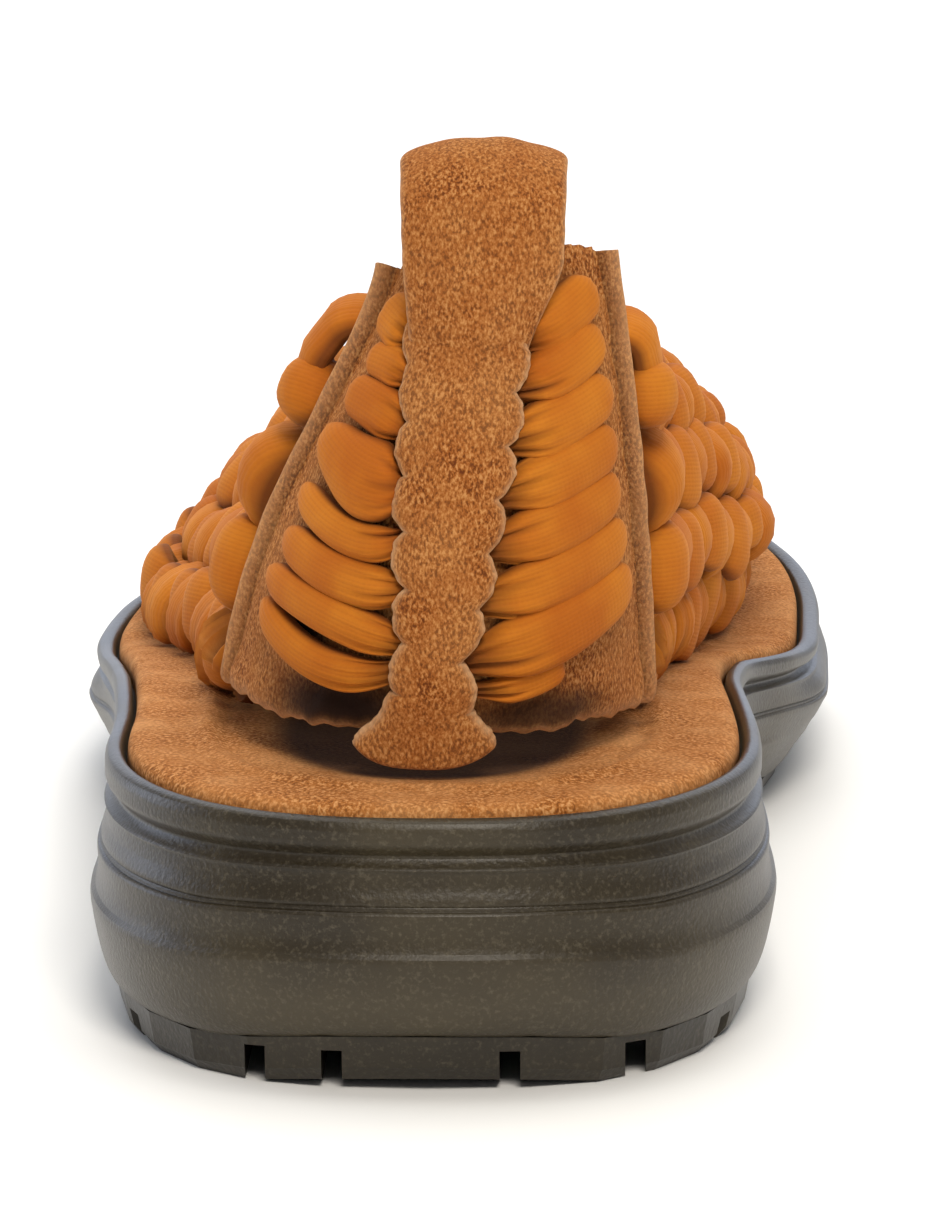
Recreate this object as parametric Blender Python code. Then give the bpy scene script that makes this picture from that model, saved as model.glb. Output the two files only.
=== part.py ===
"""Woven slip-on sandal, the left shoe, standing empty on its sole.

The toe points along +Y, the medial side along +X, and the origin is on the floor under the middle of the sole.
Sizes are in millimetres until make_object turns them to metres. A station is a distance from the back of the
sole, and a share is a height on the last divided by the height of its ridge.
"""

import math

import bpy
import numpy as np

MM = 0.001

# Driving dimensions of the sole
SOLE_LENGTH = 290.0
BALL_WIDTH = 106.0
HEEL_ROUND = 58.0
HEEL_SQUARENESS = 2.5
TOE_ROUND = 86.0
TOE_SQUARENESS = 2.3
TOE_SWING = 6.0
STATIONS = 24

# Driving dimensions of the last
LAST_BALL_WIDTH = 90.0
INSTEP_HEIGHT = 54.0
LAST_BACK = 26.0
LAST_HEEL_DEPTH = 30.0
TOE_START = 200.0
LAST_TOE_DEPTH = 75.0
LAST_TOE_SQUARENESS = 2.3
TOE_EVENING = 0.21
HEEL_FLATTEN = 0.5
FLATTEN_FADE = 60.0
TUCK_HEIGHT = 14.0
LATERAL_TUCK = 0.02
MEDIAL_TUCK = 0.10

# Walls and clearances
GAP = 0.35
WALL = 2.0
SUEDE = 2.0
FOOTBED_CROWN = 1.2

# Weave of the upper
SIDE_TAPES = 5
TOP_TAPES = 5
REAR_ROWS = 8
VAMP_ROWS = 5
TOE_ROWS = 7
THROAT_DEPTH = 12.0
TAPE_CROWN = 2.0
TAPE_VALLEY = -1.1
GAP_SHARE = 0.34

# Heel pieces
PANEL_BASE_STATION = 52.0
PANEL_TOP_STATION = 40.0
PANEL_LIFT = 3.0
PANEL_TOP = 58.5
PIPING_WIDTH = 2.2
PIPING_RISE = 1.6
STRIP_THICKNESS = 4.0
SCALLOPS = 7
SCALLOP_DEPTH = 0.9
TAPES_A_SIDE = 7
TAPE_THICKNESS = 4.2
TAPES_BOTTOM = 13.0
TAPES_TOP = 54.5
TAPE_SLANT = 2.0
LOOP_BOTTOM = 52.5
LOOP_HEIGHT = 18.8
LOOP_ARCH = 2.2
LOOP_WIDTH = 19.4
LOOP_CURVE = 3.2
LOOP_SPREAD = 1.8
LOOP_TURN = 0.42


def table(columns, rows):
    """A short table as one array for each named column."""
    return dict(zip(columns.split(), np.array(rows, float).T))


# Plan of the sole: half widths as shares of half the ball width
OUTLINE = table(
    "station lateral medial",
    [
        (0.00, 0.795, 0.780),
        (0.20, 0.795, 0.785),
        (0.34, 0.840, 0.765),
        (0.46, 0.910, 0.800),
        (0.54, 0.960, 0.930),
        (0.62, 0.985, 1.000),
        (0.70, 0.975, 1.015),
        (0.82, 0.925, 1.005),
        (1.00, 0.855, 0.955),
    ],
)

# Side view of the sole: height of its rim and of its tread over the floor
SIDE_VIEW = table(
    "station rim tread",
    [
        (0.00, 32.5, 2.5),
        (0.04, 32.5, 0.0),
        (0.28, 31.5, 0.0),
        (0.42, 27.6, 1.6),
        (0.52, 23.8, 1.2),
        (0.59, 21.6, 0.0),
        (0.74, 20.4, 0.0),
        (0.86, 22.2, 3.0),
        (1.00, 28.0, 11.0),
    ],
)

# Moulded side of the midsole, from the outsole up: how far each level lies inside the outline
SIDE_STEPS = table(
    "level heel waist ball",
    [
        (0.17, 2.6, 8.0, 6.6),
        (0.30, 0.8, 6.0, 4.4),
        (0.45, 0.0, 4.0, 2.2),
        (0.47, 0.7, 4.2, 1.6),
        (0.63, 0.9, 3.0, 0.0),
        (0.65, 1.5, 3.4, 0.1),
        (0.85, 2.0, 2.6, 2.2),
        (0.875, 2.9, 3.4, 3.4),
        (0.905, 2.0, 2.0, 1.6),
        (0.96, 2.0, 2.0, 1.4),
        (1.00, 3.0, 3.0, 2.6),
    ],
)

# Where along the sole each profile of its side holds
SIDE_ZONES = table(
    "station heel waist ball",
    [
        (0.00, 1.0, 0.0, 0.0),
        (0.26, 1.0, 0.0, 0.0),
        (0.42, 0.0, 1.0, 0.0),
        (0.50, 0.0, 1.0, 0.0),
        (0.62, 0.0, 0.0, 1.0),
        (0.80, 0.2, 0.0, 0.8),
        (1.00, 0.8, 0.0, 0.2),
    ],
)

# The last: half widths as shares of half its ball width, ridge as a share of the instep height, how hard
# each side leans in as it rises (below 1 is upright, above 1 is slack), and how far the top leans inward
LAST = table(
    "station lateral medial ridge lateral_slope medial_slope lean",
    [
        (26.0, 0.52, 0.53, 1.27, 2.00, 0.95, 10.5),
        (56.0, 0.52, 0.53, 1.23, 2.05, 0.95, 9.5),
        (81.0, 0.57, 0.60, 1.08, 2.10, 1.05, 8.0),
        (110.0, 0.66, 0.70, 1.00, 2.35, 1.05, 8.0),
        (150.0, 0.83, 0.84, 0.93, 2.30, 1.00, 8.0),
        (185.0, 0.93, 0.93, 0.82, 1.70, 0.90, 7.0),
        (205.0, 0.94, 0.96, 0.72, 1.30, 0.85, 6.0),
        (275.0, 0.88, 0.98, 0.55, 1.00, 0.85, 4.0),
    ],
)

# Back view of the heel: how far the wall stands behind or ahead of its foot as it rises
BACK_CURVE = table(
    "height forward",
    [
        (0.0, 0.0),
        (10.0, -2.4),
        (24.0, -4.0),
        (42.0, -2.0),
        (56.0, 1.5),
        (70.0, 4.0),
    ],
)

# The scalloped strip from its tail up: half width at each height over the footbed
STRIP = table(
    "height half_width",
    [
        (0.0, 8.0),
        (4.0, 7.4),
        (10.0, 5.6),
        (14.0, 5.0),
        (34.0, 6.0),
        (58.0, 7.2),
    ],
)

# Grooves across the tread: station of the middle, how far it sweeps forward at the edge, width
CROSS_GROOVES = table(
    "station sweep width",
    [
        (0.090, 4.0, 3.0),
        (0.185, 4.0, 3.0),
        (0.290, 6.0, 4.0),
        (0.405, 8.0, 5.0),
        (0.520, 8.0, 5.0),
        (0.620, 6.0, 3.5),
        (0.720, 4.0, 3.0),
        (0.840, 3.0, 3.0),
    ],
)

# Grooves along the tread: place across it at heel and at ball, and width
LONG_GROOVES = table(
    "at_heel at_ball width",
    [
        (-20.0, -30.0, 2.4),
        (-11.0, -13.0, 2.4),
        (9.5, 13.0, 2.4),
        (24.0, 32.0, 2.4),
    ],
)
GROOVE_LEVEL = 0.10
LONG_GROOVE_LEVEL = 0.103


def read(rows, column, at):
    """A column read at a value of the first one, by a monotone cubic that never overshoots its rows."""
    keys = next(iter(rows.values()))
    values = rows[column]
    steps = np.diff(keys)
    slopes = np.diff(values) / steps
    weights_low = 2.0 * steps[1:] + steps[:-1]
    weights_high = steps[1:] + 2.0 * steps[:-1]
    low = np.where(slopes[:-1] == 0.0, 1.0, slopes[:-1])
    high = np.where(slopes[1:] == 0.0, 1.0, slopes[1:])
    mean = (weights_low + weights_high) / (weights_low / low + weights_high / high)
    tangents = np.zeros(len(keys))
    tangents[1:-1] = np.where(slopes[:-1] * slopes[1:] > 0.0, mean, 0.0)
    at = np.clip(at, keys[0], keys[-1])
    row = np.clip(np.searchsorted(keys, at, side="right") - 1, 0, len(steps) - 1)
    step = steps[row]
    t = (at - keys[row]) / step
    start = values[row] * (1.0 + 2.0 * t) * (1.0 - t) ** 2 + tangents[row] * step * t * (1.0 - t) ** 2
    end = values[row + 1] * (3.0 - 2.0 * t) * t**2 + tangents[row + 1] * step * t**2 * (t - 1.0)
    return start + end


def ease(t):
    """A smooth step from 0 to 1 as t goes from 0 to 1."""
    t = np.clip(t, 0.0, 1.0)
    return t * t * (3.0 - 2.0 * t)


def end_round(along, squareness):
    """Share of the full width that a superellipse has, from 0 at its end to 1 where along is 1."""
    return (1.0 - (1.0 - np.clip(along, 0.0, 1.0)) ** squareness) ** (1.0 / squareness)


def rim_height(station):
    return read(SIDE_VIEW, "rim", station / SOLE_LENGTH)


def tread_height(station):
    return read(SIDE_VIEW, "tread", station / SOLE_LENGTH)


def footbed_height(station):
    return rim_height(station) + FOOTBED_CROWN


def side_inset(step, station):
    """How far a level of the moulded side lies inside the outline, blended between heel, waist and ball."""
    share = station / SOLE_LENGTH
    zones = {name: read(SIDE_ZONES, name, share) for name in ("heel", "waist", "ball")}
    return sum(zones[name] * SIDE_STEPS[name][step] for name in zones)


def stations(inset=0.0):
    """Stations from heel to toe, close together at the two ends."""
    turn = np.linspace(0.0, math.pi, STATIONS + 1)
    return inset + (SOLE_LENGTH - 2.0 * inset) * (1.0 - np.cos(turn)) / 2.0


def sole_edges(station, inset, end_inset):
    """X of the lateral and the medial edge of the sole's outline, drawn in by an inset."""
    share = station / SOLE_LENGTH
    heel = end_round((station - end_inset) / (HEEL_ROUND - end_inset), HEEL_SQUARENESS)
    toe = end_round((SOLE_LENGTH - end_inset - station) / (TOE_ROUND - end_inset), TOE_SQUARENESS)
    swing = TOE_SWING * ease((share - 0.66) / 0.34)
    half = BALL_WIDTH / 2.0
    lateral = swing - (half * read(OUTLINE, "lateral", share) - inset) * heel * toe
    medial = swing + (half * read(OUTLINE, "medial", share) - inset) * heel * toe
    return lateral, medial


def sole_ring(inset_of, height_of, end_inset):
    """One closed ring of the sole, up its lateral side and back down its medial side."""
    along = stations(end_inset)
    lateral, medial = sole_edges(along, inset_of(along), end_inset)
    heights = height_of(along)
    left = np.column_stack([lateral, along, heights])
    right = np.column_stack([medial, along, heights])
    return np.vstack([left, right[-2:0:-1]])


def to_origin(points):
    """Moves points from heel-based stations to the origin, under the middle of the sole."""
    lateral, medial = sole_edges(stations(), 0.0, 0.0)
    middle = (lateral.min() + medial.max()) / 2.0
    return np.asarray(points) - np.array([middle, SOLE_LENGTH / 2.0, 0.0])


def make_material(name, colour, roughness):
    material = bpy.data.materials.new(name)
    material.use_nodes = True
    shader = material.node_tree.nodes["Principled BSDF"]
    shader.inputs["Base Color"].default_value = (*colour, 1.0)
    shader.inputs["Roughness"].default_value = roughness
    shader.inputs["Metallic"].default_value = 0.0
    material.diffuse_color = (*colour, 1.0)
    return material


def make_object(name, points, faces, material):
    """Puts a mesh, given in millimetres from the back of the sole, into the scene in metres."""
    used = sorted({corner for face in faces for corner in face})
    place = {corner: index for index, corner in enumerate(used)}
    mesh = bpy.data.meshes.new(name)
    mesh.from_pydata(to_origin(points)[used] * MM, [], [[place[c] for c in face] for face in faces])
    mesh.materials.append(material)
    mesh.validate()
    mesh.update()
    mesh.shade_smooth()
    mesh.set_sharp_from_angle(angle=math.radians(40.0))
    made = bpy.data.objects.new(name, mesh)
    bpy.context.scene.collection.objects.link(made)
    return made


def ladder(first, count, flip):
    """Closes a ring by rungs between its lateral and medial points at the same station."""
    rungs = []
    lateral = [first + k for k in range(count // 2 + 1)]
    medial = [first] + [first + count - k for k in range(1, count // 2)] + [first + count // 2]
    for k in range(count // 2):
        face = [lateral[k], lateral[k + 1], medial[k + 1], medial[k]]
        face = list(dict.fromkeys(face))
        rungs.append(face[::-1] if flip else face)
    return rungs


def closed_rings(name, rings, material):
    """A solid from closed rings, lowest first, with a ladder of faces over each end."""
    count = len(rings[0])
    faces = ladder(0, count, False)
    for level in range(len(rings) - 1):
        low = level * count
        high = low + count
        for k in range(count):
            nxt = (k + 1) % count
            faces.append([low + nxt, low + k, high + k, high + nxt])
    faces += ladder((len(rings) - 1) * count, count, True)
    return make_object(name, np.vstack(rings), faces, material)


def grid_faces(rows, columns, keep=None):
    """Quads of a grid whose points are listed row by row, with keep(row, column) naming those that stay."""
    faces = []
    for i in range(rows - 1):
        for j in range(columns - 1):
            if keep is None or keep(i, j):
                corner = i * columns + j
                faces.append([corner, corner + 1, corner + columns + 1, corner + columns])
    return faces


def closed_sheet(name, outer, inner, faces, material):
    """A wall between an outer and an inner sheet that share their faces, closed along every free edge."""
    shift = len(outer)
    edges = {}
    for face in faces:
        for a, b in zip(face, face[1:] + face[:1]):
            edges[(a, b)] = edges.get((a, b), 0) + 1
    rims = [[b, a, a + shift, b + shift] for a, b in edges if (b, a) not in edges]
    backs = [[corner + shift for corner in reversed(face)] for face in faces]
    return make_object(name, np.vstack([outer, inner]), faces + backs + rims, material)


def closed_tube(name, sections, material):
    """A solid through closed sections of equal count, with a flat cap on each end."""
    count = len(sections[0])
    faces = [list(range(count))[::-1]]
    for k in range(len(sections) - 1):
        low = k * count
        for j in range(count):
            nxt = (j + 1) % count
            faces.append([low + j, low + nxt, low + count + nxt, low + count + j])
    faces.append([(len(sections) - 1) * count + j for j in range(count)])
    return make_object(name, np.vstack(sections), faces, material)


def normals(surface):
    """Unit normals of a grid of points, pointing away from the foot."""
    along = np.gradient(surface, axis=0)
    across = np.gradient(surface, axis=1)
    normal = np.cross(across, along)
    return normal / np.linalg.norm(normal, axis=2, keepdims=True)


def on_last(base_x, base_station, share):
    """A point on the last: base_x and base_station give its foot, and share how far up to the ridge it is."""
    base_station = np.asarray(base_station, float)
    medial = base_x > 0.0
    ridge = INSTEP_HEIGHT * read(LAST, "ridge", base_station)
    height = ridge * share
    lateral_slope = read(LAST, "lateral_slope", base_station)
    medial_slope = read(LAST, "medial_slope", base_station)
    slope = np.where(medial, medial_slope, lateral_slope)
    slope = slope + (medial_slope - slope) * share**4
    tuck = np.where(medial, MEDIAL_TUCK, LATERAL_TUCK) * ease((base_station - 81.0) / 60.0)
    tucked = 1.0 - tuck * np.clip(1.0 - height / TUCK_HEIGHT, 0.0, 1.0) ** 2
    leaned = read(LAST, "lean", base_station) * share**2
    x = base_x * np.sqrt(np.clip(1.0 - share**2, 0.0, 1.0)) ** slope * tucked + leaned
    heel_end = LAST_BACK + LAST_HEEL_DEPTH
    into_heel = np.minimum(base_station, heel_end) - LAST_BACK
    flat = HEEL_FLATTEN * share**2 * into_heel * (1.0 - ease((base_station - heel_end) / FLATTEN_FADE))
    backness = np.clip((heel_end - base_station) / LAST_HEEL_DEPTH, 0.0, 1.0)
    station = base_station - flat + read(BACK_CURVE, "forward", height) * backness
    return np.stack(np.broadcast_arrays(x, station, footbed_height(station) + GAP + height), axis=-1)


def last_edges(station):
    """Signed half widths of the last's plan at a station, rounded towards the back."""
    half = LAST_BALL_WIDTH / 2.0
    into = np.clip((LAST_BACK + LAST_HEEL_DEPTH - station) / LAST_HEEL_DEPTH, 0.0, 1.0)
    heel = np.sqrt(1.0 - into**2)
    return -half * read(LAST, "lateral", station) * heel, half * read(LAST, "medial", station) * heel


def panel_station(share):
    """Station at which the heel panel ends, further back the higher it is."""
    top_share = 0.866
    rise = np.clip(share / top_share, 0.0, 1.1)
    return PANEL_BASE_STATION + (PANEL_TOP_STATION - PANEL_BASE_STATION) * rise


def side_point(across, row):
    """A point of the woven wall between heel panel and toe, across from -1 lateral to 1 medial."""
    share = np.cos(np.abs(across) * math.pi / 2.0)
    rows = 2 * (REAR_ROWS + VAMP_ROWS)
    start = PANEL_BASE_STATION + GAP
    straight = start + (TOE_START - start) * row / rows
    slanted = (panel_station(share) - PANEL_BASE_STATION) * (1.0 - ease(row / 12.0))
    collar = TOP_TAPES / (2.0 * SIDE_TAPES + TOP_TAPES)
    throat_row = 2 * REAR_ROWS
    past_throat = np.clip((row - throat_row) / (rows - throat_row), 0.0, 1.0)
    scoop = THROAT_DEPTH * np.clip(1.0 - (across / collar) ** 2, 0.0, 1.0) * (1.0 - past_throat)
    station = straight + slanted + scoop
    lateral, medial = last_edges(station)
    base_x = np.where(across > 0.0, medial, lateral) * np.sign(np.abs(across) + 1e-9)
    return on_last(base_x, station, share)


def toe_point(across, forward):
    """A point of the toe: the square of weave is laid over half a dome, so every tape ends on the footbed."""
    u = across * np.sqrt(1.0 - forward**2 / 2.0)
    v = forward * np.sqrt(1.0 - across**2 / 2.0)
    reach = np.clip(np.hypot(u, v), 0.0, 1.0)
    turn = np.arctan2(v, np.abs(u))
    reach = reach + TOE_EVENING * np.sin(turn) ** 2 * (reach**3.4 - reach)
    power = 2.0 / LAST_TOE_SQUARENESS
    share = np.cos(reach * math.pi / 2.0)
    lateral, medial = last_edges(TOE_START)
    base_x = np.where(across > 0.0, medial, lateral) * np.abs(np.cos(turn)) ** power
    spread = np.sin(reach * math.pi / 2.0)
    swing = TOE_SWING * ease(v)
    x_station = on_last(base_x, np.full_like(base_x, TOE_START), share)
    forward_by = LAST_TOE_DEPTH * np.abs(np.sin(turn)) ** power * spread**0.9
    x_station[..., 0] += swing * np.abs(np.sin(turn))
    rise = x_station[..., 2] - footbed_height(TOE_START)
    x_station[..., 1] = TOE_START + forward_by
    x_station[..., 2] = footbed_height(TOE_START + forward_by) + rise
    return x_station


def upper_surface():
    """The wall's middle surface on a grid of half tapes, with each crossing of two tapes raised as a pillow."""
    columns = 2 * (2 * SIDE_TAPES + TOP_TAPES)
    across = np.linspace(-1.0, 1.0, columns + 1)
    side_rows = 2 * (REAR_ROWS + VAMP_ROWS)
    rows = [side_point(across, float(row)) for row in range(side_rows)]
    rows += [toe_point(across, row / (2.0 * TOE_ROWS)) for row in range(2 * TOE_ROWS + 1)]
    middle = np.stack(rows)
    row, column = np.indices(middle.shape[:2])
    centre = (row % 2 == 1) & (column % 2 == 1)
    corner = (row % 2 == 0) & (column % 2 == 0)
    raised = np.where(centre, TAPE_CROWN, np.where(corner, TAPE_VALLEY, 0.0))
    return middle, raised


def make_upper(material):
    """The woven wall: one hollow solid, open at the collar, at the heel panel and underneath."""
    middle, raised = upper_surface()
    rows, columns = middle.shape[:2]
    normal = normals(middle)
    outer = middle + normal * (raised + WALL)[..., None]
    inner = middle + normal * raised[..., None]
    lowest = footbed_height(middle[..., 1]) + GAP
    for sheet in (outer, inner):
        sheet[..., 2] = np.maximum(sheet[..., 2], lowest)
    first_top, last_top = 2 * SIDE_TAPES, 2 * (SIDE_TAPES + TOP_TAPES)

    def keep(row, column):
        return row >= 2 * REAR_ROWS or column < first_top or column >= last_top

    faces = grid_faces(rows, columns, keep)
    outer = outer.reshape(-1, 3)
    inner = inner.reshape(-1, 3)
    gaps = [
        row * columns + column
        for row in range(2, rows - 9, 2)
        for column in range(2, columns - 2, 2)
        if (row + column) % 4 == 0 and all(keep(row + a, column + b) for a in (-1, 0) for b in (-1, 0))
    ]
    outer, inner, faces = open_corners(outer, inner, faces, gaps, columns)
    return closed_sheet("upper", outer, inner, faces, material)


def open_corners(outer, inner, faces, gaps, columns):
    """Cuts a small four-sided gap at each named grid point by drawing its four faces back from it."""
    new_corner = {}
    extra_outer, extra_inner = [], []
    for corner in gaps:
        for neighbour in (corner - 1, corner + 1, corner - columns, corner + columns):
            new_corner[(corner, neighbour)] = len(outer) + len(extra_outer)
            extra_outer.append(outer[corner] + GAP_SHARE * (outer[neighbour] - outer[corner]))
            extra_inner.append(inner[corner] + GAP_SHARE * (inner[neighbour] - inner[corner]))
    cut = []
    gap_set = set(gaps)
    for face in faces:
        corners = []
        for k, corner in enumerate(face):
            if corner in gap_set:
                corners.append(new_corner[(corner, face[k - 1])])
                corners.append(new_corner[(corner, face[(k + 1) % len(face)])])
            else:
                corners.append(corner)
        cut.append(corners)
    return np.vstack([outer, extra_outer]), np.vstack([inner, extra_inner]), cut


def heel_surface(turn, height):
    """A point on the back of the last, by the turn round the heel (0 at the back) and a height over the footbed."""
    station = LAST_BACK + LAST_HEEL_DEPTH * (1.0 - np.cos(turn))
    lateral, medial = last_edges(np.full_like(station, LAST_BACK + LAST_HEEL_DEPTH))
    base_x = np.where(turn > 0.0, medial, -lateral) * np.sin(turn)
    ridge = INSTEP_HEIGHT * read(LAST, "ridge", station)
    return on_last(base_x, station, height / ridge)


def panel_turn(height):
    """Turn round the heel at which the panel ends, at a height."""
    ridge = INSTEP_HEIGHT * read(LAST, "ridge", np.full_like(height, PANEL_BASE_STATION))
    station = panel_station(height / ridge)
    return np.arccos(np.clip(1.0 - (station - LAST_BACK) / LAST_HEEL_DEPTH, -1.0, 1.0))


def strip_turn(half_width, height):
    """Turn round the heel that lies half_width to the side of its middle, seen on the strip's own face."""
    medial = heel_surface(np.full_like(height, math.pi / 2.0), height)[..., 0]
    lateral = heel_surface(np.full_like(height, -math.pi / 2.0), height)[..., 0]
    radius = (medial - lateral) / 2.0 + SUEDE + GAP + STRIP_THICKNESS
    return np.arcsin(np.clip(half_width / radius, -1.0, 1.0))


def make_heel_panel(material):
    """The suede panel round the heel, with a piped ridge down each side and its lower edge clear of the footbed."""
    heights = np.linspace(PANEL_LIFT, PANEL_TOP, 9)
    piping = PIPING_WIDTH / (LAST_BALL_WIDTH * LAST["lateral"][0] / 2.0)
    edge = panel_turn(heights)[:, None]
    inside = np.linspace(-1.0, 1.0, 11)[None, :] * (edge - piping)
    turn = np.hstack([-edge, -edge + 0.3 * piping, inside, edge - 0.3 * piping, edge])
    middle = heel_surface(turn, np.broadcast_to(heights[:, None], turn.shape))
    rise = np.zeros(turn.shape[1])
    rise[[1, -2]] = PIPING_RISE
    rise[[0, -1]] = 0.4 * PIPING_RISE
    outward = normals(middle)
    outer = middle + outward * (SUEDE + rise)[None, :, None]
    rows, columns = turn.shape
    faces = grid_faces(rows, columns)
    return closed_sheet("heel_panel", outer.reshape(-1, 3), middle.reshape(-1, 3), faces, material)


def make_heel_strip(material):
    """The scalloped strip over the ends of the heel tapes, and its tail that flares out onto the footbed."""
    points_a_scallop = 3
    scalloped = np.linspace(TAPES_BOTTOM - 2.0, TAPES_TOP, SCALLOPS * points_a_scallop + 1)
    tail = np.linspace(0.4, scalloped[0], 6)[:-1]
    top = np.array([PANEL_TOP - 1.0])
    heights = np.concatenate([tail, scalloped, top])
    half = read(STRIP, "half_width", heights)
    wave = np.abs(np.sin((heights - scalloped[0]) / (TAPES_TOP - scalloped[0]) * math.pi * SCALLOPS))
    inside = (heights >= scalloped[0]) & (heights <= TAPES_TOP)
    half = half + np.where(inside, SCALLOP_DEPTH * (wave - 0.5), 0.0)
    across = np.linspace(-1.0, 1.0, 5)
    turn = strip_turn(half, heights)[:, None] * across[None, :]
    middle = heel_surface(turn, np.broadcast_to(heights[:, None], turn.shape))
    outward = normals(middle)
    flare = 2.5 * np.clip(1.0 - heights / 7.0, 0.0, 1.0)[:, None, None]
    inner = middle + outward * (SUEDE + GAP)
    under_loop = ease((heights - LOOP_BOTTOM + 6.0) / 5.0)[:, None, None]
    thickness = STRIP_THICKNESS * (1.0 - 0.5 * under_loop)
    outer = middle + outward * (SUEDE + GAP + thickness + flare)
    lowest = footbed_height(middle[..., 1]) + GAP
    for sheet in (inner, outer):
        sheet[..., 2] = np.maximum(sheet[..., 2], lowest)
        sheet[0, :, 2] = lowest[0]
    rows, columns = turn.shape
    faces = grid_faces(rows, columns)
    return closed_sheet("heel_strip", outer.reshape(-1, 3), inner.reshape(-1, 3), faces, material)


def make_heel_tape(side, number, material):
    """One padded tape on the heel panel, from beside its piping, slanting down to the strip."""
    pitch = (TAPES_TOP - TAPES_BOTTOM) / TAPES_A_SIDE
    low = TAPES_BOTTOM + (number + 0.5) * pitch
    along = np.linspace(0.0, 1.0, 5)
    height = low + TAPE_SLANT * along**1.3
    height = np.minimum(height, PANEL_TOP - pitch / 2.0)
    strip_edge = strip_turn(read(STRIP, "half_width", height) + SCALLOP_DEPTH / 2.0 + 2.0 * GAP, height)
    piping = 1.35 * PIPING_WIDTH / (LAST_BALL_WIDTH * LAST["lateral"][0] / 2.0)
    turn = side * (strip_edge + (panel_turn(height) - piping - strip_edge) * along)
    around = np.linspace(0.0, 2.0 * math.pi, 9)[:-1]
    plump = np.array([0.62, 0.95, 1.0, 0.95, 0.66])
    half_width = (pitch / 2.0 - GAP / 2.0) * (0.86 + 0.14 * plump)
    step = 0.5
    sections = []
    for k in range(len(along)):
        heights = np.array([height[k] - step, height[k], height[k] + step])
        turns = turn[k] + np.array([-0.03, 0.0, 0.03])
        patch = heel_surface(*np.meshgrid(turns, heights))
        outward = normals(patch)[1, 1]
        upward = patch[2, 1] - patch[0, 1]
        upward /= np.linalg.norm(upward)
        thick = TAPE_THICKNESS / 2.0 * plump[k]
        centre = patch[1, 1] + outward * (SUEDE + GAP + thick)
        ring = np.cos(around)[:, None] * thick * outward + np.sin(around)[:, None] * half_width[k] * upward
        sections.append((centre + ring)[:: -int(side)])
    name = f"heel_tape_{'medial' if side > 0 else 'lateral'}_{number + 1}"
    return closed_tube(name, sections, material)


def make_pull_loop(material):
    """The folded tab: an inner leaf inside the panel, a fold above it, and an outer leaf over the strip."""
    across = np.linspace(-1.0, 1.0, 7)
    turn = LOOP_TURN * across
    patch = heel_surface(*np.meshgrid(turn, np.array([LOOP_BOTTOM - 1.0, LOOP_BOTTOM, LOOP_BOTTOM + 1.0])))
    away = normals(patch)[1]
    away[:, 2] = 0.0
    away /= np.linalg.norm(away, axis=1, keepdims=True)
    back = np.array([0.0, *away[3, 1:]])
    up = patch[2, 3] - patch[0, 3]
    up[0] = 0.0
    up /= np.linalg.norm(up)
    inner_at = -GAP - SUEDE / 2.0
    outer_at = SUEDE + STRIP_THICKNESS + 2.0 * GAP + SUEDE / 2.0 + 0.5
    fold_at = outer_at + LOOP_SPREAD
    radius = (fold_at - inner_at) / 2.0
    bend = np.linspace(0.0, math.pi, 9)
    fold = np.column_stack([fold_at - radius + radius * np.cos(bend), LOOP_HEIGHT - radius + radius * np.sin(bend)])
    outer_leg = np.linspace([outer_at, 0.0], [fold_at, LOOP_HEIGHT - radius], 5)[:-1]
    inner_leg = np.column_stack([np.full(4, inner_at), np.linspace(LOOP_HEIGHT - radius, -2.0, 5)[1:]])
    path = np.vstack([outer_leg, fold, inner_leg])
    offset, height = path[:, 0][:, None, None], path[:, 1][:, None]
    risen = np.clip(height / LOOP_HEIGHT, 0.0, 1.0)
    climb = height + LOOP_ARCH * (1.0 - across**2) * risen**3
    on_panel = np.minimum(height, PANEL_TOP - LOOP_BOTTOM)
    inner_leaf = heel_surface(*np.broadcast_arrays(turn, LOOP_BOTTOM + on_panel)) + offset * away
    inner_leaf += (climb - on_panel)[..., None] * up
    sideways = across * LOOP_WIDTH / 2.0 * (0.93 + 0.07 * risen)
    recede = LOOP_CURVE * across**2 * (1.0 - 0.45 * risen)
    outer_leaf = patch[1, 3] + climb[..., None] * up + (offset[..., 0] - recede)[..., None] * back
    outer_leaf[..., 0] += sideways
    outside = ease(2.0 * (offset - inner_at) / (outer_at - inner_at))
    middle = inner_leaf + outside * (outer_leaf - inner_leaf)
    outward = -normals(middle)
    outer = middle + outward * SUEDE / 2.0
    inner = middle - outward * SUEDE / 2.0
    rows, columns = middle.shape[:2]
    faces = [face[::-1] for face in grid_faces(rows, columns)]
    return closed_sheet("pull_loop", outer.reshape(-1, 3), inner.reshape(-1, 3), faces, material)


def make_midsole(material):
    """The moulded midsole, with its side stepped from SIDE_STEPS and a recess for the footbed inside its rim."""
    rings = []
    for step, level in enumerate(SIDE_STEPS["level"]):
        rings.append(
            sole_ring(
                lambda along, step=step: side_inset(step, along),
                lambda along, level=level: level_height(level, along),
                SIDE_STEPS["heel"][step],
            )
        )
    rings.append(sole_ring(lambda along: np.full_like(along, 4.2), rim_height, 4.2))
    rings.append(sole_ring(lambda along: np.full_like(along, 4.4), lambda along: rim_height(along) - 2.6, 4.4))
    return closed_rings("midsole", rings, material)


def level_height(level, along):
    """Height over the floor of a level between tread (0) and rim (1)."""
    tread = tread_height(along)
    return tread + level * (rim_height(along) - tread)


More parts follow.
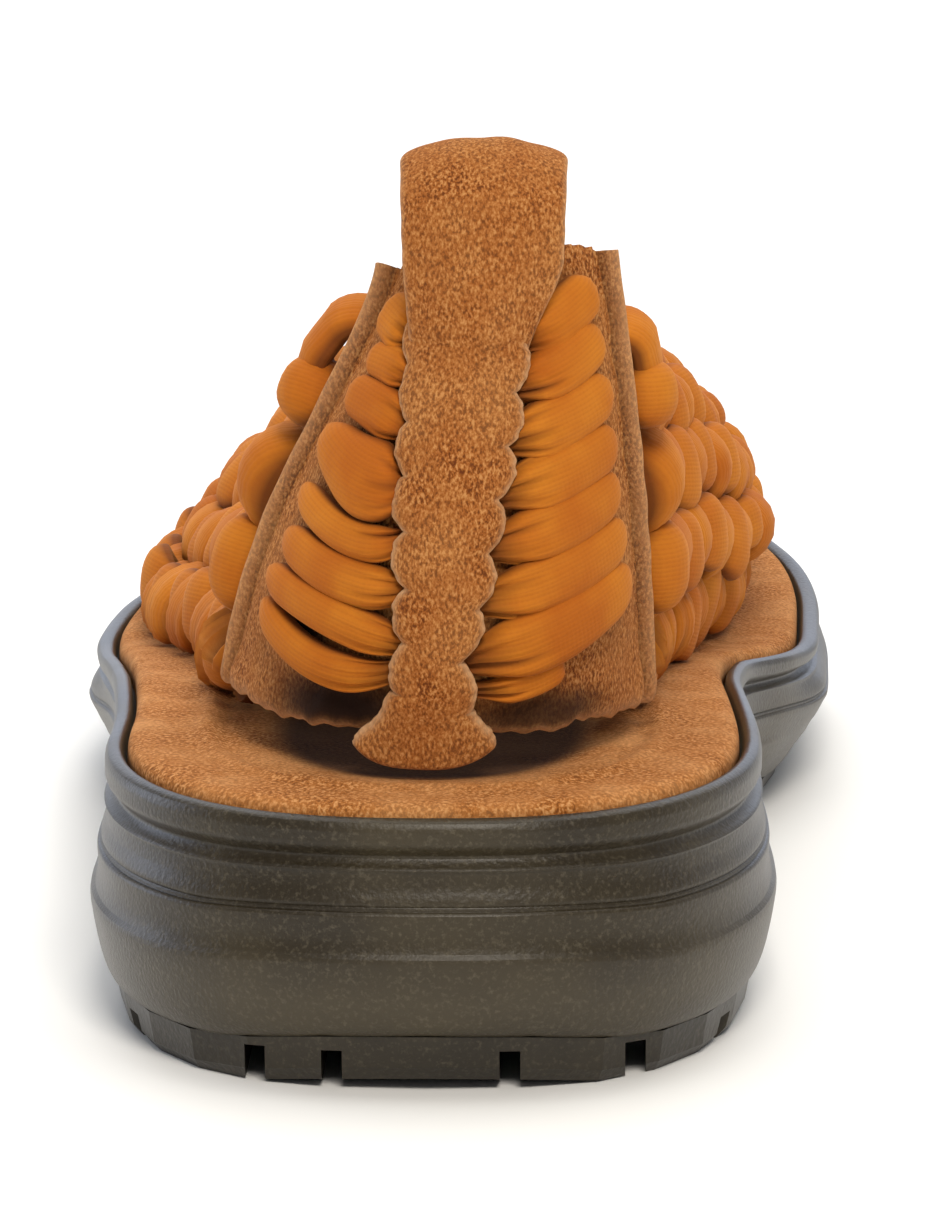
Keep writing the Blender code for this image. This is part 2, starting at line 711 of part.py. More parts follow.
def make_outsole(material):
    """The rubber tread under the midsole, cut through by its grooves so that the main lugs stand out."""
    tops = SIDE_STEPS["heel"][0]

    def inset_at(extra):
        return lambda along: side_inset(0, along) + extra

    rings = [
        sole_ring(inset_at(2.0), tread_height, tops + 2.0),
        sole_ring(inset_at(1.0), lambda along: level_height(0.04, along), tops + 1.0),
        sole_ring(inset_at(0.2), lambda along: level_height(SIDE_STEPS["level"][0], along) - GAP, tops + 0.2),
    ]
    outsole = closed_rings("outsole", rings, material)
    cutter = make_groove_cutter(material)
    cut = outsole.modifiers.new("grooves", "BOOLEAN")
    cut.operation = "DIFFERENCE"
    cut.use_self = True
    cut.object = cutter
    return outsole


def make_groove_cutter(material):
    """Every groove of the tread as one helper: swept slots across the sole and long slots down it."""
    points, faces = [], []

    def add_slot(path, width, height):
        first = len(points)
        across = np.gradient(path, axis=0)
        across = np.column_stack([-across[:, 1], across[:, 0]])
        across /= np.linalg.norm(across, axis=1, keepdims=True)
        for (x, y), (ax, ay), top in zip(path, across, height):
            for sign, z in ((-1, -5.0), (1, -5.0), (1, top), (-1, top)):
                points.append((x + sign * ax * width / 2.0, y + sign * ay * width / 2.0, z))
        for k in range(len(path) - 1):
            low = first + 4 * k
            for j in range(4):
                nxt = (j + 1) % 4
                faces.append([low + j, low + nxt, low + 4 + nxt, low + 4 + j])
        faces.append([first + j for j in (3, 2, 1, 0)])
        faces.append([first + 4 * (len(path) - 1) + j for j in range(4)])

    for share, sweep, width in zip(*CROSS_GROOVES.values()):
        x = np.linspace(-60.0, 60.0, 5)
        y = share * SOLE_LENGTH + sweep * (x / 40.0) ** 2
        add_slot(np.column_stack([x, y]), width, level_height(GROOVE_LEVEL, y))
    for at_heel, at_ball, width in zip(*LONG_GROOVES.values()):
        y = np.linspace(-5.0, SOLE_LENGTH - 22.0, 9)
        x = at_heel + (at_ball - at_heel) * ease((y - 70.0) / 130.0)
        add_slot(np.column_stack([x, y]), width, level_height(LONG_GROOVE_LEVEL, y))
    cutter = make_object("groove_cutter", points, faces, material)
    cutter.hide_render = True
    cutter.display_type = "WIRE"
    return cutter


def make_footbed(material):
    """The suede covered footbed: a rolled edge, a flat margin that the upper stands on, and a shallow dish."""
    levels = table(
        "inset height",
        [(4.8, -2.2), (4.8, 0.1), (5.6, 0.9), (7.2, FOOTBED_CROWN), (24.0, FOOTBED_CROWN), (30.0, 0.2)],
    )
    rings = []
    for inset, height in zip(levels["inset"], levels["height"]):
        rings.append(
            sole_ring(
                lambda along, inset=inset: np.full_like(along, inset),
                lambda along, height=height: rim_height(along) + height,
                inset,
            )
        )
    return closed_rings("footbed", rings, material)


def main():
    for thing in list(bpy.data.objects):
        bpy.data.objects.remove(thing, do_unlink=True)
    rubber = make_material("outsole rubber", (0.045, 0.040, 0.034), 0.75)
    foam = make_material("midsole rubber foam", (0.060, 0.053, 0.045), 0.55)
    suede = make_material("tan suede", (0.33, 0.15, 0.06), 0.95)
    nap = make_material("footbed suede", (0.40, 0.19, 0.08), 0.95)
    tape = make_material("rust stretch tape", (0.50, 0.17, 0.03), 0.70)
    make_outsole(rubber)
    make_midsole(foam)
    make_footbed(nap)
    make_upper(tape)
    make_heel_panel(suede)
    make_heel_strip(suede)
    for side in (-1.0, 1.0):
        for number in range(TAPES_A_SIDE):
            make_heel_tape(side, number, tape)
    make_pull_loop(suede)


main()
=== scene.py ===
import math

import bpy
import numpy as np
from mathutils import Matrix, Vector


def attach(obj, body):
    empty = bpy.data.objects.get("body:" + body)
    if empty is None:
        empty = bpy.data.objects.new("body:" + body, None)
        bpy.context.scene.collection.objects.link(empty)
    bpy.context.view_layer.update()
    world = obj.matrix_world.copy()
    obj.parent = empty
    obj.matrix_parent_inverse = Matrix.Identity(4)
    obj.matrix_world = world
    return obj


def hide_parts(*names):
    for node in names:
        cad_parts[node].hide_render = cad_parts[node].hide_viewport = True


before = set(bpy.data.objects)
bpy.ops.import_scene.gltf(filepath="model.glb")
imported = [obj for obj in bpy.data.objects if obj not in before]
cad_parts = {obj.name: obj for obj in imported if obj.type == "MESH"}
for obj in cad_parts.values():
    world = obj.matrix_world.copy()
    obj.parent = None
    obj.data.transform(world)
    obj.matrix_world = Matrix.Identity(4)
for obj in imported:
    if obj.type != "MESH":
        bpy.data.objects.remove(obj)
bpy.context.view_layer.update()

# The looks of a woven slip-on sandal, the left shoe, seen from behind its heel.
# Pieces are worked out in millimetres, with +Y from heel to toe and +X to the medial side. A station is a
# distance from the back of the sole, and a share is a height on the last divided by the height of its ridge.


# Camera, floor and light: the photographer stood behind the heel and a little above it, with a long lens.
# The floor is pale seamless paper, under one broad soft light from above and a small one from behind the
# camera. Three cool lamps, ahead of the shoe and to each side of it, put a sheen on the rim of the sole.
CAMERA_PLACE = (0.0152, -0.826, 0.180)
CAMERA_TURN = 0.95
CAMERA_DOWN = 10.2
PHOTO_WIDTH = 940.0
FOCAL_PIXELS = 6150.0
SENSOR_WIDTH = 36.0
FLOOR_SIZE = 8.0
PAPER_COLOUR = "#f3f2ef"
AIR_COLOUR = "#f4f6fa"
AIR_STRENGTH = 0.33
SHOE_MIDDLE = Vector((0.0, 0.0, 0.05))

# Each light's place and width in metres, its power in watts and its colour
LIGHTS = {
    "light_above": ((0.1, 0.7, 2.2), 2.6, 51.0, "#fffdf8"),
    "light_behind": ((0.15, -1.05, 0.90), 0.4, 11.8, "#fff8ee"),
    "light_left": ((-1.0, 0.5, 0.22), 0.7, 4.6, "#dce8ff"),
    "light_right": ((1.0, 0.65, 0.30), 0.7, 0.9, "#dce8ff"),
    "light_ahead": ((0.0, 2.4, 0.9), 2.4, 28.0, "#dce8ff"),
}


def linear(hex_colour):
    """A hex sRGB colour as linear red, green, blue and full alpha."""
    parts = [int(hex_colour[k : k + 2], 16) / 255.0 for k in (1, 3, 5)]
    flat = [c / 12.92 if c <= 0.04045 else ((c + 0.055) / 1.055) ** 2.4 for c in parts]
    return (*flat, 1.0)


def new_material(name):
    """An empty material with its shader and output joined, as its node tree and its shader."""
    material = bpy.data.materials.new(name)
    material.use_nodes = True
    tree = material.node_tree
    return material, tree, tree.nodes["Principled BSDF"]


def fill(node, **inputs):
    """Fills each input of a node with a value or a link.

    An input is given by its name, with _ for a space, or by its place, as i and a number.
    """
    for name, value in inputs.items():
        socket = node.inputs[int(name[1:]) if name[1:].isdigit() else name.replace("_", " ")]
        if isinstance(value, bpy.types.NodeSocket):
            node.id_data.links.new(value, socket)
        else:
            socket.default_value = value


def add_node(tree, kind, settings=None, **inputs):
    """Adds a shader node of a kind, with its own settings and with its inputs filled."""
    node = tree.nodes.new("ShaderNode" + kind)
    for name, value in (settings or {}).items():
        setattr(node, name, value)
    fill(node, **inputs)
    return node


camera_data = bpy.data.cameras.new("camera")
camera_data.sensor_fit = "HORIZONTAL"
camera_data.sensor_width = SENSOR_WIDTH
camera_data.lens = FOCAL_PIXELS / PHOTO_WIDTH * SENSOR_WIDTH
camera_data.clip_start = 0.01
camera = bpy.data.objects.new("camera", camera_data)
camera.location = CAMERA_PLACE
camera.rotation_euler = (math.radians(90.0 - CAMERA_DOWN), 0.0, math.radians(CAMERA_TURN))
bpy.context.scene.collection.objects.link(camera)
bpy.context.scene.camera = camera

for name, (place, width, power, colour) in LIGHTS.items():
    light = bpy.data.lights.new(name, "AREA")
    light.shape = "SQUARE"
    light.size = width
    light.energy = power
    light.color = linear(colour)[:3]
    lamp = bpy.data.objects.new(name, light)
    lamp.location = place
    lamp.rotation_euler = (SHOE_MIDDLE - Vector(place)).to_track_quat("-Z", "Y").to_euler()
    bpy.context.scene.collection.objects.link(lamp)

# Shows every colour as it is named here, so the pale paper stays as white as in the photograph
bpy.context.scene.view_settings.view_transform = "Standard"

world = bpy.data.worlds.new("studio")
world.use_nodes = True
fill(world.node_tree.nodes["Background"], Color=linear(AIR_COLOUR), Strength=AIR_STRENGTH)
bpy.context.scene.world = world

floor_mesh = bpy.data.meshes.new("paper_floor")
half_floor = FLOOR_SIZE / 2.0
floor_corners = [(x * half_floor, y * half_floor, 0.0) for x, y in ((-1, -1), (1, -1), (1, 1), (-1, 1))]
floor_mesh.from_pydata(floor_corners, [], [(0, 1, 2, 3)])
floor = bpy.data.objects.new("paper_floor", floor_mesh)
bpy.context.scene.collection.objects.link(floor)

# Seamless paper has no gloss, so it shows nothing but the shoe's soft shadow
floor_paper, _, shader = new_material("seamless_paper")
fill(shader, Base_Color=linear(PAPER_COLOUR), Roughness=0.9)
floor_mesh.materials.append(floor_paper)


# Outsole: the tread, moulded in dark solid rubber and bonded under the midsole. Its lugs and grooves are the
# frame's own solid, given the midsole's grey-brown rubber, a little darker and with a coarser skin.
MM = 0.001
WORN_PATCHES = 45.0
SPECK_MM = 0.6
SPECK_DUST = 0.20
# Painted light on the low side of the sole: full below the first height and gone above the second, in mm
PAINTED_LIGHT_LOW = 11.0
PAINTED_LIGHT_HIGH = 17.0
RGBA = {"data_type": "RGBA"}


def moulded_rubber(name, colour, worn_colour, dust_colour, grain_mm, low_side_light):
    """Grey-brown rubber from a blasted mould: a pebbled skin, pale specks of dust, and a soft broad gloss.

    The real skin and dust are about 0.2 mm and too fine to show, so both are drawn coarser. The worn patches
    are counted to the metre, about 22 mm each. The low side, with the bulge over the tread, is painted paler
    by the last argument as painted light, fading out from 11 mm to 17 mm over the floor.
    """
    material, tree, shader = new_material(name)
    place = add_node(tree, "TexCoord").outputs["Object"]
    # A noise keeps near 0.5, so each Map Range takes the span around that which shows enough of it
    cloud = add_node(tree, "TexNoise", Vector=place, Scale=WORN_PATCHES, Detail=3.0).outputs["Fac"]
    worn = add_node(tree, "MapRange", i0=cloud, i1=0.42, i2=0.68).outputs[0]
    tone = add_node(tree, "Mix", RGBA, i0=worn, i6=linear(colour), i7=linear(worn_colour)).outputs[2]
    speck_scale = 1.0 / (SPECK_MM * MM)
    speck = add_node(tree, "TexNoise", Vector=place, Scale=speck_scale, Detail=4.0, Roughness=0.65)
    dust = add_node(tree, "MapRange", i0=speck.outputs["Fac"], i1=0.52, i2=0.76, i4=SPECK_DUST)
    tone = add_node(tree, "Mix", RGBA, i0=dust.outputs[0], i6=tone, i7=linear(dust_colour)).outputs[2]
    height = add_node(tree, "SeparateXYZ", Vector=place).outputs["Z"]
    # Painted light: the low part of the side, with the bulge over the tread, is painted paler towards the
    # dust colour
    painted_low_light = add_node(tree, "MapRange", i0=height, i1=PAINTED_LIGHT_LOW * MM, i2=PAINTED_LIGHT_HIGH * MM, i3=low_side_light, i4=0.0)
    tone = add_node(tree, "Mix", RGBA, i0=painted_low_light.outputs[0], i6=tone, i7=linear(dust_colour)).outputs[2]
    skin = add_node(tree, "TexNoise", Vector=place, Scale=1.0 / (grain_mm * MM), Detail=3.0)
    bump = add_node(tree, "Bump", Height=skin.outputs["Fac"], Strength=0.6, Distance=0.22 * MM)
    gloss = add_node(tree, "MapRange", i0=cloud, i3=0.34, i4=0.50)
    fill(shader, Base_Color=tone, Normal=bump.outputs[0], Roughness=gloss.outputs[0])
    fill(shader, IOR=1.48, Specular_IOR_Level=0.25, Coat_Weight=0.15, Coat_Roughness=0.30)
    return material


outsole_rubber = moulded_rubber("moulded_outsole_rubber", "#262119", "#332d22", "#7d735f", 0.9, 0.02)
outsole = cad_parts["outsole"].data
outsole.materials.clear()
outsole.materials.append(outsole_rubber)


# Midsole: one thick block of moulded rubber foam that the foot stands on. Its side is drawn from the mould's
# own steps: a rounded rim, a groove under it, a smooth band, a parting line, a ridge and a bulging foot.
UV_UNIT = 10.0
SOLE_LENGTH = 290.0
BALL_WIDTH = 106.0
HEEL_ROUND = 58.0
HEEL_SQUARENESS = 2.5
TOE_ROUND = 86.0
TOE_SQUARENESS = 2.3
TOE_SWING = 6.0
SOLE_STATIONS = 150


def table(columns, rows):
    """A short table as one array for each named column."""
    return dict(zip(columns.split(), np.array(rows, float).T))


# Plan of the sole: half widths as shares of half the ball width
OUTLINE = table(
    "station lateral medial",
    [
        (0.00, 0.795, 0.780),
        (0.20, 0.795, 0.785),
        (0.34, 0.840, 0.765),
        (0.46, 0.910, 0.800),
        (0.54, 0.960, 0.930),
        (0.62, 0.985, 1.000),
        (0.70, 0.975, 1.015),
        (0.82, 0.925, 1.005),
        (1.00, 0.855, 0.955),
    ],
)

# Side view of the sole: height of its rim and of its tread over the floor
SIDE_VIEW = table(
    "station rim tread",
    [
        (0.00, 32.5, 2.5),
        (0.04, 32.5, 0.0),
        (0.28, 31.5, 0.0),
        (0.42, 27.6, 1.6),
        (0.52, 23.8, 1.2),
        (0.59, 21.6, 0.0),
        (0.74, 20.4, 0.0),
        (0.86, 22.2, 3.0),
        (1.00, 28.0, 11.0),
    ],
)

# The mould's steps from the outsole up: how far each level lies inside the outline
SIDE_STEPS = table(
    "level heel waist ball",
    [
        (0.160, 3.2, 8.4, 7.0),
        (0.170, 2.5, 8.0, 6.6),
        (0.230, 1.4, 7.0, 5.4),
        (0.300, 0.8, 6.0, 4.4),
        (0.400, 0.2, 4.6, 2.8),
        (0.450, 0.0, 4.0, 2.2),
        (0.470, 0.1, 4.1, 1.9),
        (0.485, 0.6, 4.2, 1.6),
        (0.560, 1.0, 3.6, 0.7),
        (0.630, 0.9, 3.0, 0.0),
        (0.642, 1.0, 3.1, 0.1),
        (0.650, 1.5, 3.4, 0.4),
        (0.658, 1.2, 3.2, 0.2),
        (0.664, 1.6, 3.5, 0.5),
        (0.672, 1.4, 3.3, 0.3),
        (0.740, 2.0, 3.0, 1.0),
        (0.795, 2.2, 2.8, 1.8),
        (0.805, 1.8, 2.5, 1.6),
        (0.815, 2.2, 2.9, 2.4),
        (0.850, 3.1, 3.6, 3.6),
        (0.880, 2.4, 2.7, 2.4),
        (0.905, 1.9, 2.0, 1.6),
        (0.950, 1.9, 1.9, 1.4),
        (0.985, 2.3, 2.3, 1.9),
        (1.000, 3.1, 3.1, 2.7),
    ],
)

# Where along the sole each profile of its side holds
SIDE_ZONES = table(
    "station heel waist ball",
    [
        (0.00, 1.0, 0.0, 0.0),
        (0.26, 1.0, 0.0, 0.0),
        (0.42, 0.0, 1.0, 0.0),
        (0.50, 0.0, 1.0, 0.0),
        (0.62, 0.0, 0.0, 1.0),
        (0.80, 0.2, 0.0, 0.8),
        (1.00, 0.8, 0.0, 0.2),
    ],
)

# The wall of the footbed's recess, from the rim inwards
RECESS = table("inset rise", [(3.7, -0.1), (4.1, -0.6), (4.3, -2.4)])


def read(rows, column, at):
    """A column read at a value of the first one, by a monotone cubic that never overshoots its rows."""
    keys = next(iter(rows.values()))
    values = rows[column]
    steps = np.diff(keys)
    slopes = np.diff(values) / steps
    weights_low = 2.0 * steps[1:] + steps[:-1]
    weights_high = steps[1:] + 2.0 * steps[:-1]
    low = np.where(slopes[:-1] == 0.0, 1.0, slopes[:-1])
    high = np.where(slopes[1:] == 0.0, 1.0, slopes[1:])
    mean = (weights_low + weights_high) / (weights_low / low + weights_high / high)
    tangents = np.zeros(len(keys))
    tangents[1:-1] = np.where(slopes[:-1] * slopes[1:] > 0.0, mean, 0.0)
    at = np.clip(at, keys[0], keys[-1])
    row = np.clip(np.searchsorted(keys, at, side="right") - 1, 0, len(steps) - 1)
    step = steps[row]
    t = (at - keys[row]) / step
    start = values[row] * (1.0 + 2.0 * t) * (1.0 - t) ** 2 + tangents[row] * step * t * (1.0 - t) ** 2
    end = values[row + 1] * (3.0 - 2.0 * t) * t**2 + tangents[row + 1] * step * t**2 * (t - 1.0)
    return start + end


def clamp(t):
    """Values kept between 0 and 1."""
    return np.clip(t, 0.0, 1.0)


def ease(t):
    """A smooth step from 0 to 1 as t goes from 0 to 1."""
    t = clamp(t)
    return t * t * (3.0 - 2.0 * t)


def end_round(along, squareness):
    """Share of the full width that a superellipse has, from 0 at its end to 1 where along is 1."""
    return (1.0 - (1.0 - clamp(along)) ** squareness) ** (1.0 / squareness)


def rim_height(station):
    """Height of the sole's rim over the floor, from the side view."""
    return read(SIDE_VIEW, "rim", station / SOLE_LENGTH)


def level_height(level, station):
    """Height over the floor of a level between tread (0) and rim (1)."""
    tread = read(SIDE_VIEW, "tread", station / SOLE_LENGTH)
    return tread + level * (rim_height(station) - tread)


def sole_edges(station, inset, end_inset):
    """X of the outline's lateral and medial edge: table widths less an inset, rounded at both ends."""
    share = station / SOLE_LENGTH
    heel = end_round((station - end_inset) / (HEEL_ROUND - end_inset), HEEL_SQUARENESS)
    toe = end_round((SOLE_LENGTH - end_inset - station) / (TOE_ROUND - end_inset), TOE_SQUARENESS)
    swing = TOE_SWING * ease((share - 0.66) / 0.34)
    half = BALL_WIDTH / 2.0
    lateral = swing - (half * read(OUTLINE, "lateral", share) - inset) * heel * toe
    medial = swing + (half * read(OUTLINE, "medial", share) - inset) * heel * toe
    return lateral, medial


def stations(end_inset):
    """Stations from heel to toe, close together at the two ends."""
    turn = np.linspace(0.0, math.pi, SOLE_STATIONS + 1)
    return end_inset + (SOLE_LENGTH - 2.0 * end_inset) * (1.0 - np.cos(turn)) / 2.0


def sole_ring(inset_of, height_of, end_inset):
    """One closed ring of the sole, up its lateral side and down its medial side.

    inset_of and height_of give its inset from the outline and its height over the floor at a station.
    """
    along = stations(end_inset)
    lateral, medial = sole_edges(along, inset_of(along), end_inset)
    left = np.column_stack([lateral, along, height_of(along)])
    right = np.column_stack([medial, along, height_of(along)])
    return np.vstack([left, right[-2:0:-1]])


middle_edges = sole_edges(stations(0.0), 0.0, 0.0)
SOLE_MIDDLE = (middle_edges[0].min() + middle_edges[1].max()) / 2.0


def grid_quads(rows, columns, around):
    """Quads of a grid listed row by row, closed from its last column to its first where it runs around."""
    first = np.arange(rows - 1)[:, None] * columns
    column = np.arange(columns if around else columns - 1)[None, :]
    after = (column + 1) % columns
    low, low_next = first + column, first + after
    return np.stack([low, low_next, low_next + columns, low + columns], -1).reshape(-1, 4)


def make_piece(name, points, faces, material, marks=None, along_piece=None):
    """A mesh in metres about the floor's origin from points in millimetres and arrays of faces.

    marks are named values, one for each point. along_piece gives each point's place across and along the
    piece in millimetres, which becomes its UV map in units of 10 mm.
    """
    points = (points - np.array([SOLE_MIDDLE, SOLE_LENGTH / 2.0, 0.0])) * MM
    corners = np.concatenate([group.ravel() for group in faces]).astype(np.int32)
    sizes = np.concatenate([np.full(len(group), group.shape[1]) for group in faces])
    starts = np.concatenate([[0], np.cumsum(sizes)[:-1]]).astype(np.int32)
    mesh = bpy.data.meshes.new(name)
    mesh.vertices.add(len(points))
    mesh.vertices.foreach_set("co", points.astype(np.float32).ravel())
    mesh.loops.add(len(corners))
    mesh.loops.foreach_set("vertex_index", corners)
    mesh.polygons.add(len(sizes))
    mesh.polygons.foreach_set("loop_start", starts)
    mesh.update(calc_edges=True)
    mesh.shade_smooth()
    for mark, values in (marks or {}).items():
        attribute = mesh.attributes.new(mark, "FLOAT", "POINT")
        attribute.data.foreach_set("value", values.astype(np.float32).ravel())
    if along_piece is not None:
        layer = mesh.uv_layers.new(name="along_piece")
        layer.data.foreach_set("uv", (along_piece[corners] / UV_UNIT).astype(np.float32).ravel())
    mesh.materials.append(material)
    piece = bpy.data.objects.new(name, mesh)
    bpy.context.scene.collection.objects.link(piece)
    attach(piece, "root")
    return piece


def ladder(first, count):
    """Quads across a closed ring, between its lateral and its medial points at the same station."""
    half = count // 2
    lateral = first + np.arange(1, half)
    medial = first + count - np.arange(1, half)
    rungs = np.stack([lateral[:-1], lateral[1:], medial[1:], medial[:-1]], -1)
    ends = np.array([[first, lateral[0], medial[0]], [lateral[-1], first + half, medial[-1]]])
    return rungs, ends


def ringed_block(name, rings, material, marks=None):
    """A closed block from rings, lowest first, with rungs across the lowest and the highest."""
    count = len(rings[0])
    sides = grid_quads(len(rings), count, True)[:, ::-1]
    low_rungs, low_ends = ladder(0, count)
    high_rungs, high_ends = ladder((len(rings) - 1) * count, count)
    faces = [sides, low_rungs, low_ends, high_rungs[:, ::-1], high_ends[:, ::-1]]
    return make_piece(name, np.vstack(rings), faces, material, marks)


def side_inset(level, station):
    """How far a level of the moulded side lies inside the outline, blended between heel, waist and ball."""
    at = station / SOLE_LENGTH
    zones = ("heel", "waist", "ball")
    return sum(read(SIDE_ZONES, zone, at) * read(SIDE_STEPS, zone, level) for zone in zones)


def side_ring(level):
    """A ring of the moulded side, at a level between tread (0) and rim (1)."""
    end_inset = read(SIDE_STEPS, "heel", level)
    return sole_ring(lambda at: side_inset(level, at), lambda at: level_height(level, at), end_inset)


def rim_ring(inset, rise):
    """A ring at one inset all round the sole, at a rise over its rim."""
    return sole_ring(lambda at: np.full_like(at, inset), lambda at: rim_height(at) + rise, inset)


levels = np.unique(np.concatenate([SIDE_STEPS["level"], np.linspace(0.17, 1.0, 48)]))
midsole_rings = [side_ring(level) for level in levels]
midsole_rings += [rim_ring(inset, rise) for inset, rise in zip(RECESS["inset"], RECESS["rise"])]
midsole_rubber = moulded_rubber("moulded_midsole_rubber_foam", "#292216", "#383020", "#8f8570", 0.55, 0.09)
midsole = ringed_block("midsole_block", midsole_rings, midsole_rubber)
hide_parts("midsole")


# Footbed: split suede glued over a foam board in the midsole's recess, with its edge rolled down all round.
# Feet and brushing leave light and dark streaks in the nap, and a faint ring where the heel's dish begins.
# Under the upper the footbed is painted dark, as painted shade.
FOOTBED_CROWN = 1.2
DISH_RING = 14.0
DISH_SLOPE = 16.0
DISH_DEPTH = 1.1
RING_RISE = 0.55
RING_GROOVE = 0.30
# Painted shade under the upper: from 20 mm inside the outline, fading in over 5 mm, the footbed is painted
# towards a near-black brown
INSIDE_SHADE = 0.9
INSIDE_SHADE_START = 20.0
INSIDE_SHADE_FADE = 5.0
PAINTED_SHADE_COLOUR = "#24130a"
BRUSHED_PATCHES = 95.0

# The footbed's rolled edge: insets from the outline and heights over the sole's rim
ROLLED_EDGE = table(
    "inset height",
    [(4.6, -2.2), (4.7, -0.4), (4.9, 0.3), (5.4, 0.8), (6.2, 1.1), (7.2, 1.2), (9.0, 1.2)],
)


def footbed_height(station):
    """Height over the floor of the footbed's flat margin, which the upper stands on."""
    return rim_height(station) + FOOTBED_CROWN


def bell(distance, width):
    """A bell curve, 1 where the distance is nothing: exp of minus the square of distance over width."""
    return np.exp(-((distance / width) ** 2))


def suede(name, colour, dark, light, fleck_mm, streak, raw_and_highlight_colour=None):
    """Napped split leather: matt, with short fibres that lie in changing directions and so look mottled.

    Real fibres are about 0.05 mm wide and too fine to show, so they are drawn as flecks. Brushed patches are
    counted to the metre, about 11 mm each, and pale by streak. A cut edge shows the raw colour, and so does a
    painted highlight along the panel's piping. Painted shade, from a mark on the piece, darkens the suede to
    a near-black brown and takes its sheen away.
    """
    material, tree, shader = new_material(name)
    place = add_node(tree, "TexCoord").outputs["Object"]
    tufts = []
    for lean in (0.7, -0.6):
        turn = (0.4 * lean, lean, 0.9 * lean)
        laid = add_node(tree, "Mapping", Vector=place, Scale=(1.0, 1.0, 0.60), Rotation=turn).outputs[0]
        fleck_scale = 1.0 / (fleck_mm * MM)
        tuft = add_node(tree, "TexNoise", Vector=laid, Scale=fleck_scale, Detail=2.5, Roughness=0.6)
        tufts.append(tuft.outputs["Fac"])
    brushed = add_node(tree, "TexNoise", Vector=place, Scale=BRUSHED_PATCHES, Detail=3.0).outputs["Fac"]
    lie = add_node(tree, "MapRange", i0=brushed, i1=0.42, i2=0.58).outputs[0]
    fleck = add_node(tree, "Mix", i0=lie, i2=tufts[0], i3=tufts[1]).outputs[0]
    ramp = add_node(tree, "ValToRGB", Fac=fleck)
    dark_stop, light_stop = ramp.color_ramp.elements
    dark_stop.position = 0.38
    dark_stop.color = linear(dark)
    light_stop.position = 0.64
    light_stop.color = linear(light)
    ramp.color_ramp.elements.new(0.50).color = linear(colour)
    pale = add_node(tree, "MapRange", i0=brushed, i1=0.40, i2=0.70, i4=streak).outputs[0]
    tone = add_node(tree, "Mix", RGBA, i0=pale, i6=ramp.outputs[0], i7=linear(light)).outputs[2]
    # The pale raw colour shows at bare cut edges and as the painted highlight on the panel's piping
    if raw_and_highlight_colour:
        raw = add_node(tree, "Attribute", {"attribute_name": "raw_edge_and_highlight"}).outputs["Fac"]
        tone = add_node(tree, "Mix", RGBA, i0=raw, i6=tone, i7=linear(raw_and_highlight_colour)).outputs[2]
    # Painted shade: the piece's mark darkens the suede to a near-black brown where shade falls inside the
    # shoe and under the tapes
    painted_shade = add_node(tree, "Attribute", {"attribute_name": "painted_shade"}).outputs["Fac"]
    tone = add_node(tree, "Mix", RGBA, i0=painted_shade, i6=tone, i7=linear(PAINTED_SHADE_COLOUR)).outputs[2]
    fibre_scale = 1.0 / (0.4 * fleck_mm * MM)
    fibre = add_node(tree, "TexNoise", Vector=place, Scale=fibre_scale, Detail=4.0, Roughness=0.7)
    height = add_node(tree, "Math", {"operation": "ADD"}, i0=fibre.outputs["Fac"], i1=fleck)
    bump = add_node(tree, "Bump", Height=height.outputs[0], Strength=0.8, Distance=0.3 * MM)
    # The sheen fades out in the painted shade
    nap = add_node(tree, "MapRange", i0=painted_shade, i3=0.22, i4=0.0)
    fill(shader, Base_Color=tone, Normal=bump.outputs[0], Roughness=0.95, Specular_IOR_Level=0.2)
    fill(shader, Sheen_Weight=nap.outputs[0], Sheen_Roughness=0.5, Sheen_Tint=linear("#e0a060"))
    return material


footbed_suede = suede("brushed_footbed_suede", "#ac682c", "#7a4419", "#d69c62", 0.45, 0.50)
dish_insets = np.linspace(10.0, 41.0, 40)
past_ring = dish_insets - DISH_RING
dish = RING_RISE * bell(past_ring, 1.1) - DISH_DEPTH * ease(past_ring / DISH_SLOPE)
dish -= RING_GROOVE * bell(past_ring - 2.4, 0.9)
footbed_insets = np.concatenate([ROLLED_EDGE["inset"], dish_insets])
footbed_rises = np.concatenate([ROLLED_EDGE["height"], FOOTBED_CROWN + dish])
footbed_rings = [rim_ring(inset, rise) for inset, rise in zip(footbed_insets, footbed_rises)]
# Painted shade where the footbed runs in under the upper
inside_shade = INSIDE_SHADE * ease((footbed_insets - INSIDE_SHADE_START) / INSIDE_SHADE_FADE)
painted_shade_mark = np.repeat(inside_shade, len(footbed_rings[0]))
footbed = ringed_block("suede_footbed", footbed_rings, footbed_suede, {"painted_shade": painted_shade_mark})
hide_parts("footbed")


# Upper: padded tubes of stretch knit tape, woven over and under each other on the last and tucked in at the
# footbed. Tapes that run from heel to toe are crossed by tapes that run from side to side, and at the collar
# every other crossing tape folds over the edge and goes back inside.
LAST_BALL_WIDTH = 90.0
INSTEP_HEIGHT = 54.0
LAST_BACK = 26.0
LAST_HEEL_DEPTH = 30.0
TOE_START = 200.0
LAST_TOE_DEPTH = 75.0
LAST_TOE_SQUARENESS = 2.3
TOE_EVENING = 0.21
HEEL_FLATTEN = 0.5
FLATTEN_FADE = 60.0
TUCK_HEIGHT = 14.0
LATERAL_TUCK = 0.02
MEDIAL_TUCK = 0.10
TUCK_START = 81.0
TUCK_FADE = 60.0
GAP = 0.35
SIDE_TAPES = 5
TOP_TAPES = 5
REAR_ROWS = 8
VAMP_ROWS = 5
TOE_ROWS = 7
ALL_ACROSS = 2 * SIDE_TAPES + TOP_TAPES
ALL_ROWS = REAR_ROWS + VAMP_ROWS + TOE_ROWS
THROAT_DEPTH = 12.0
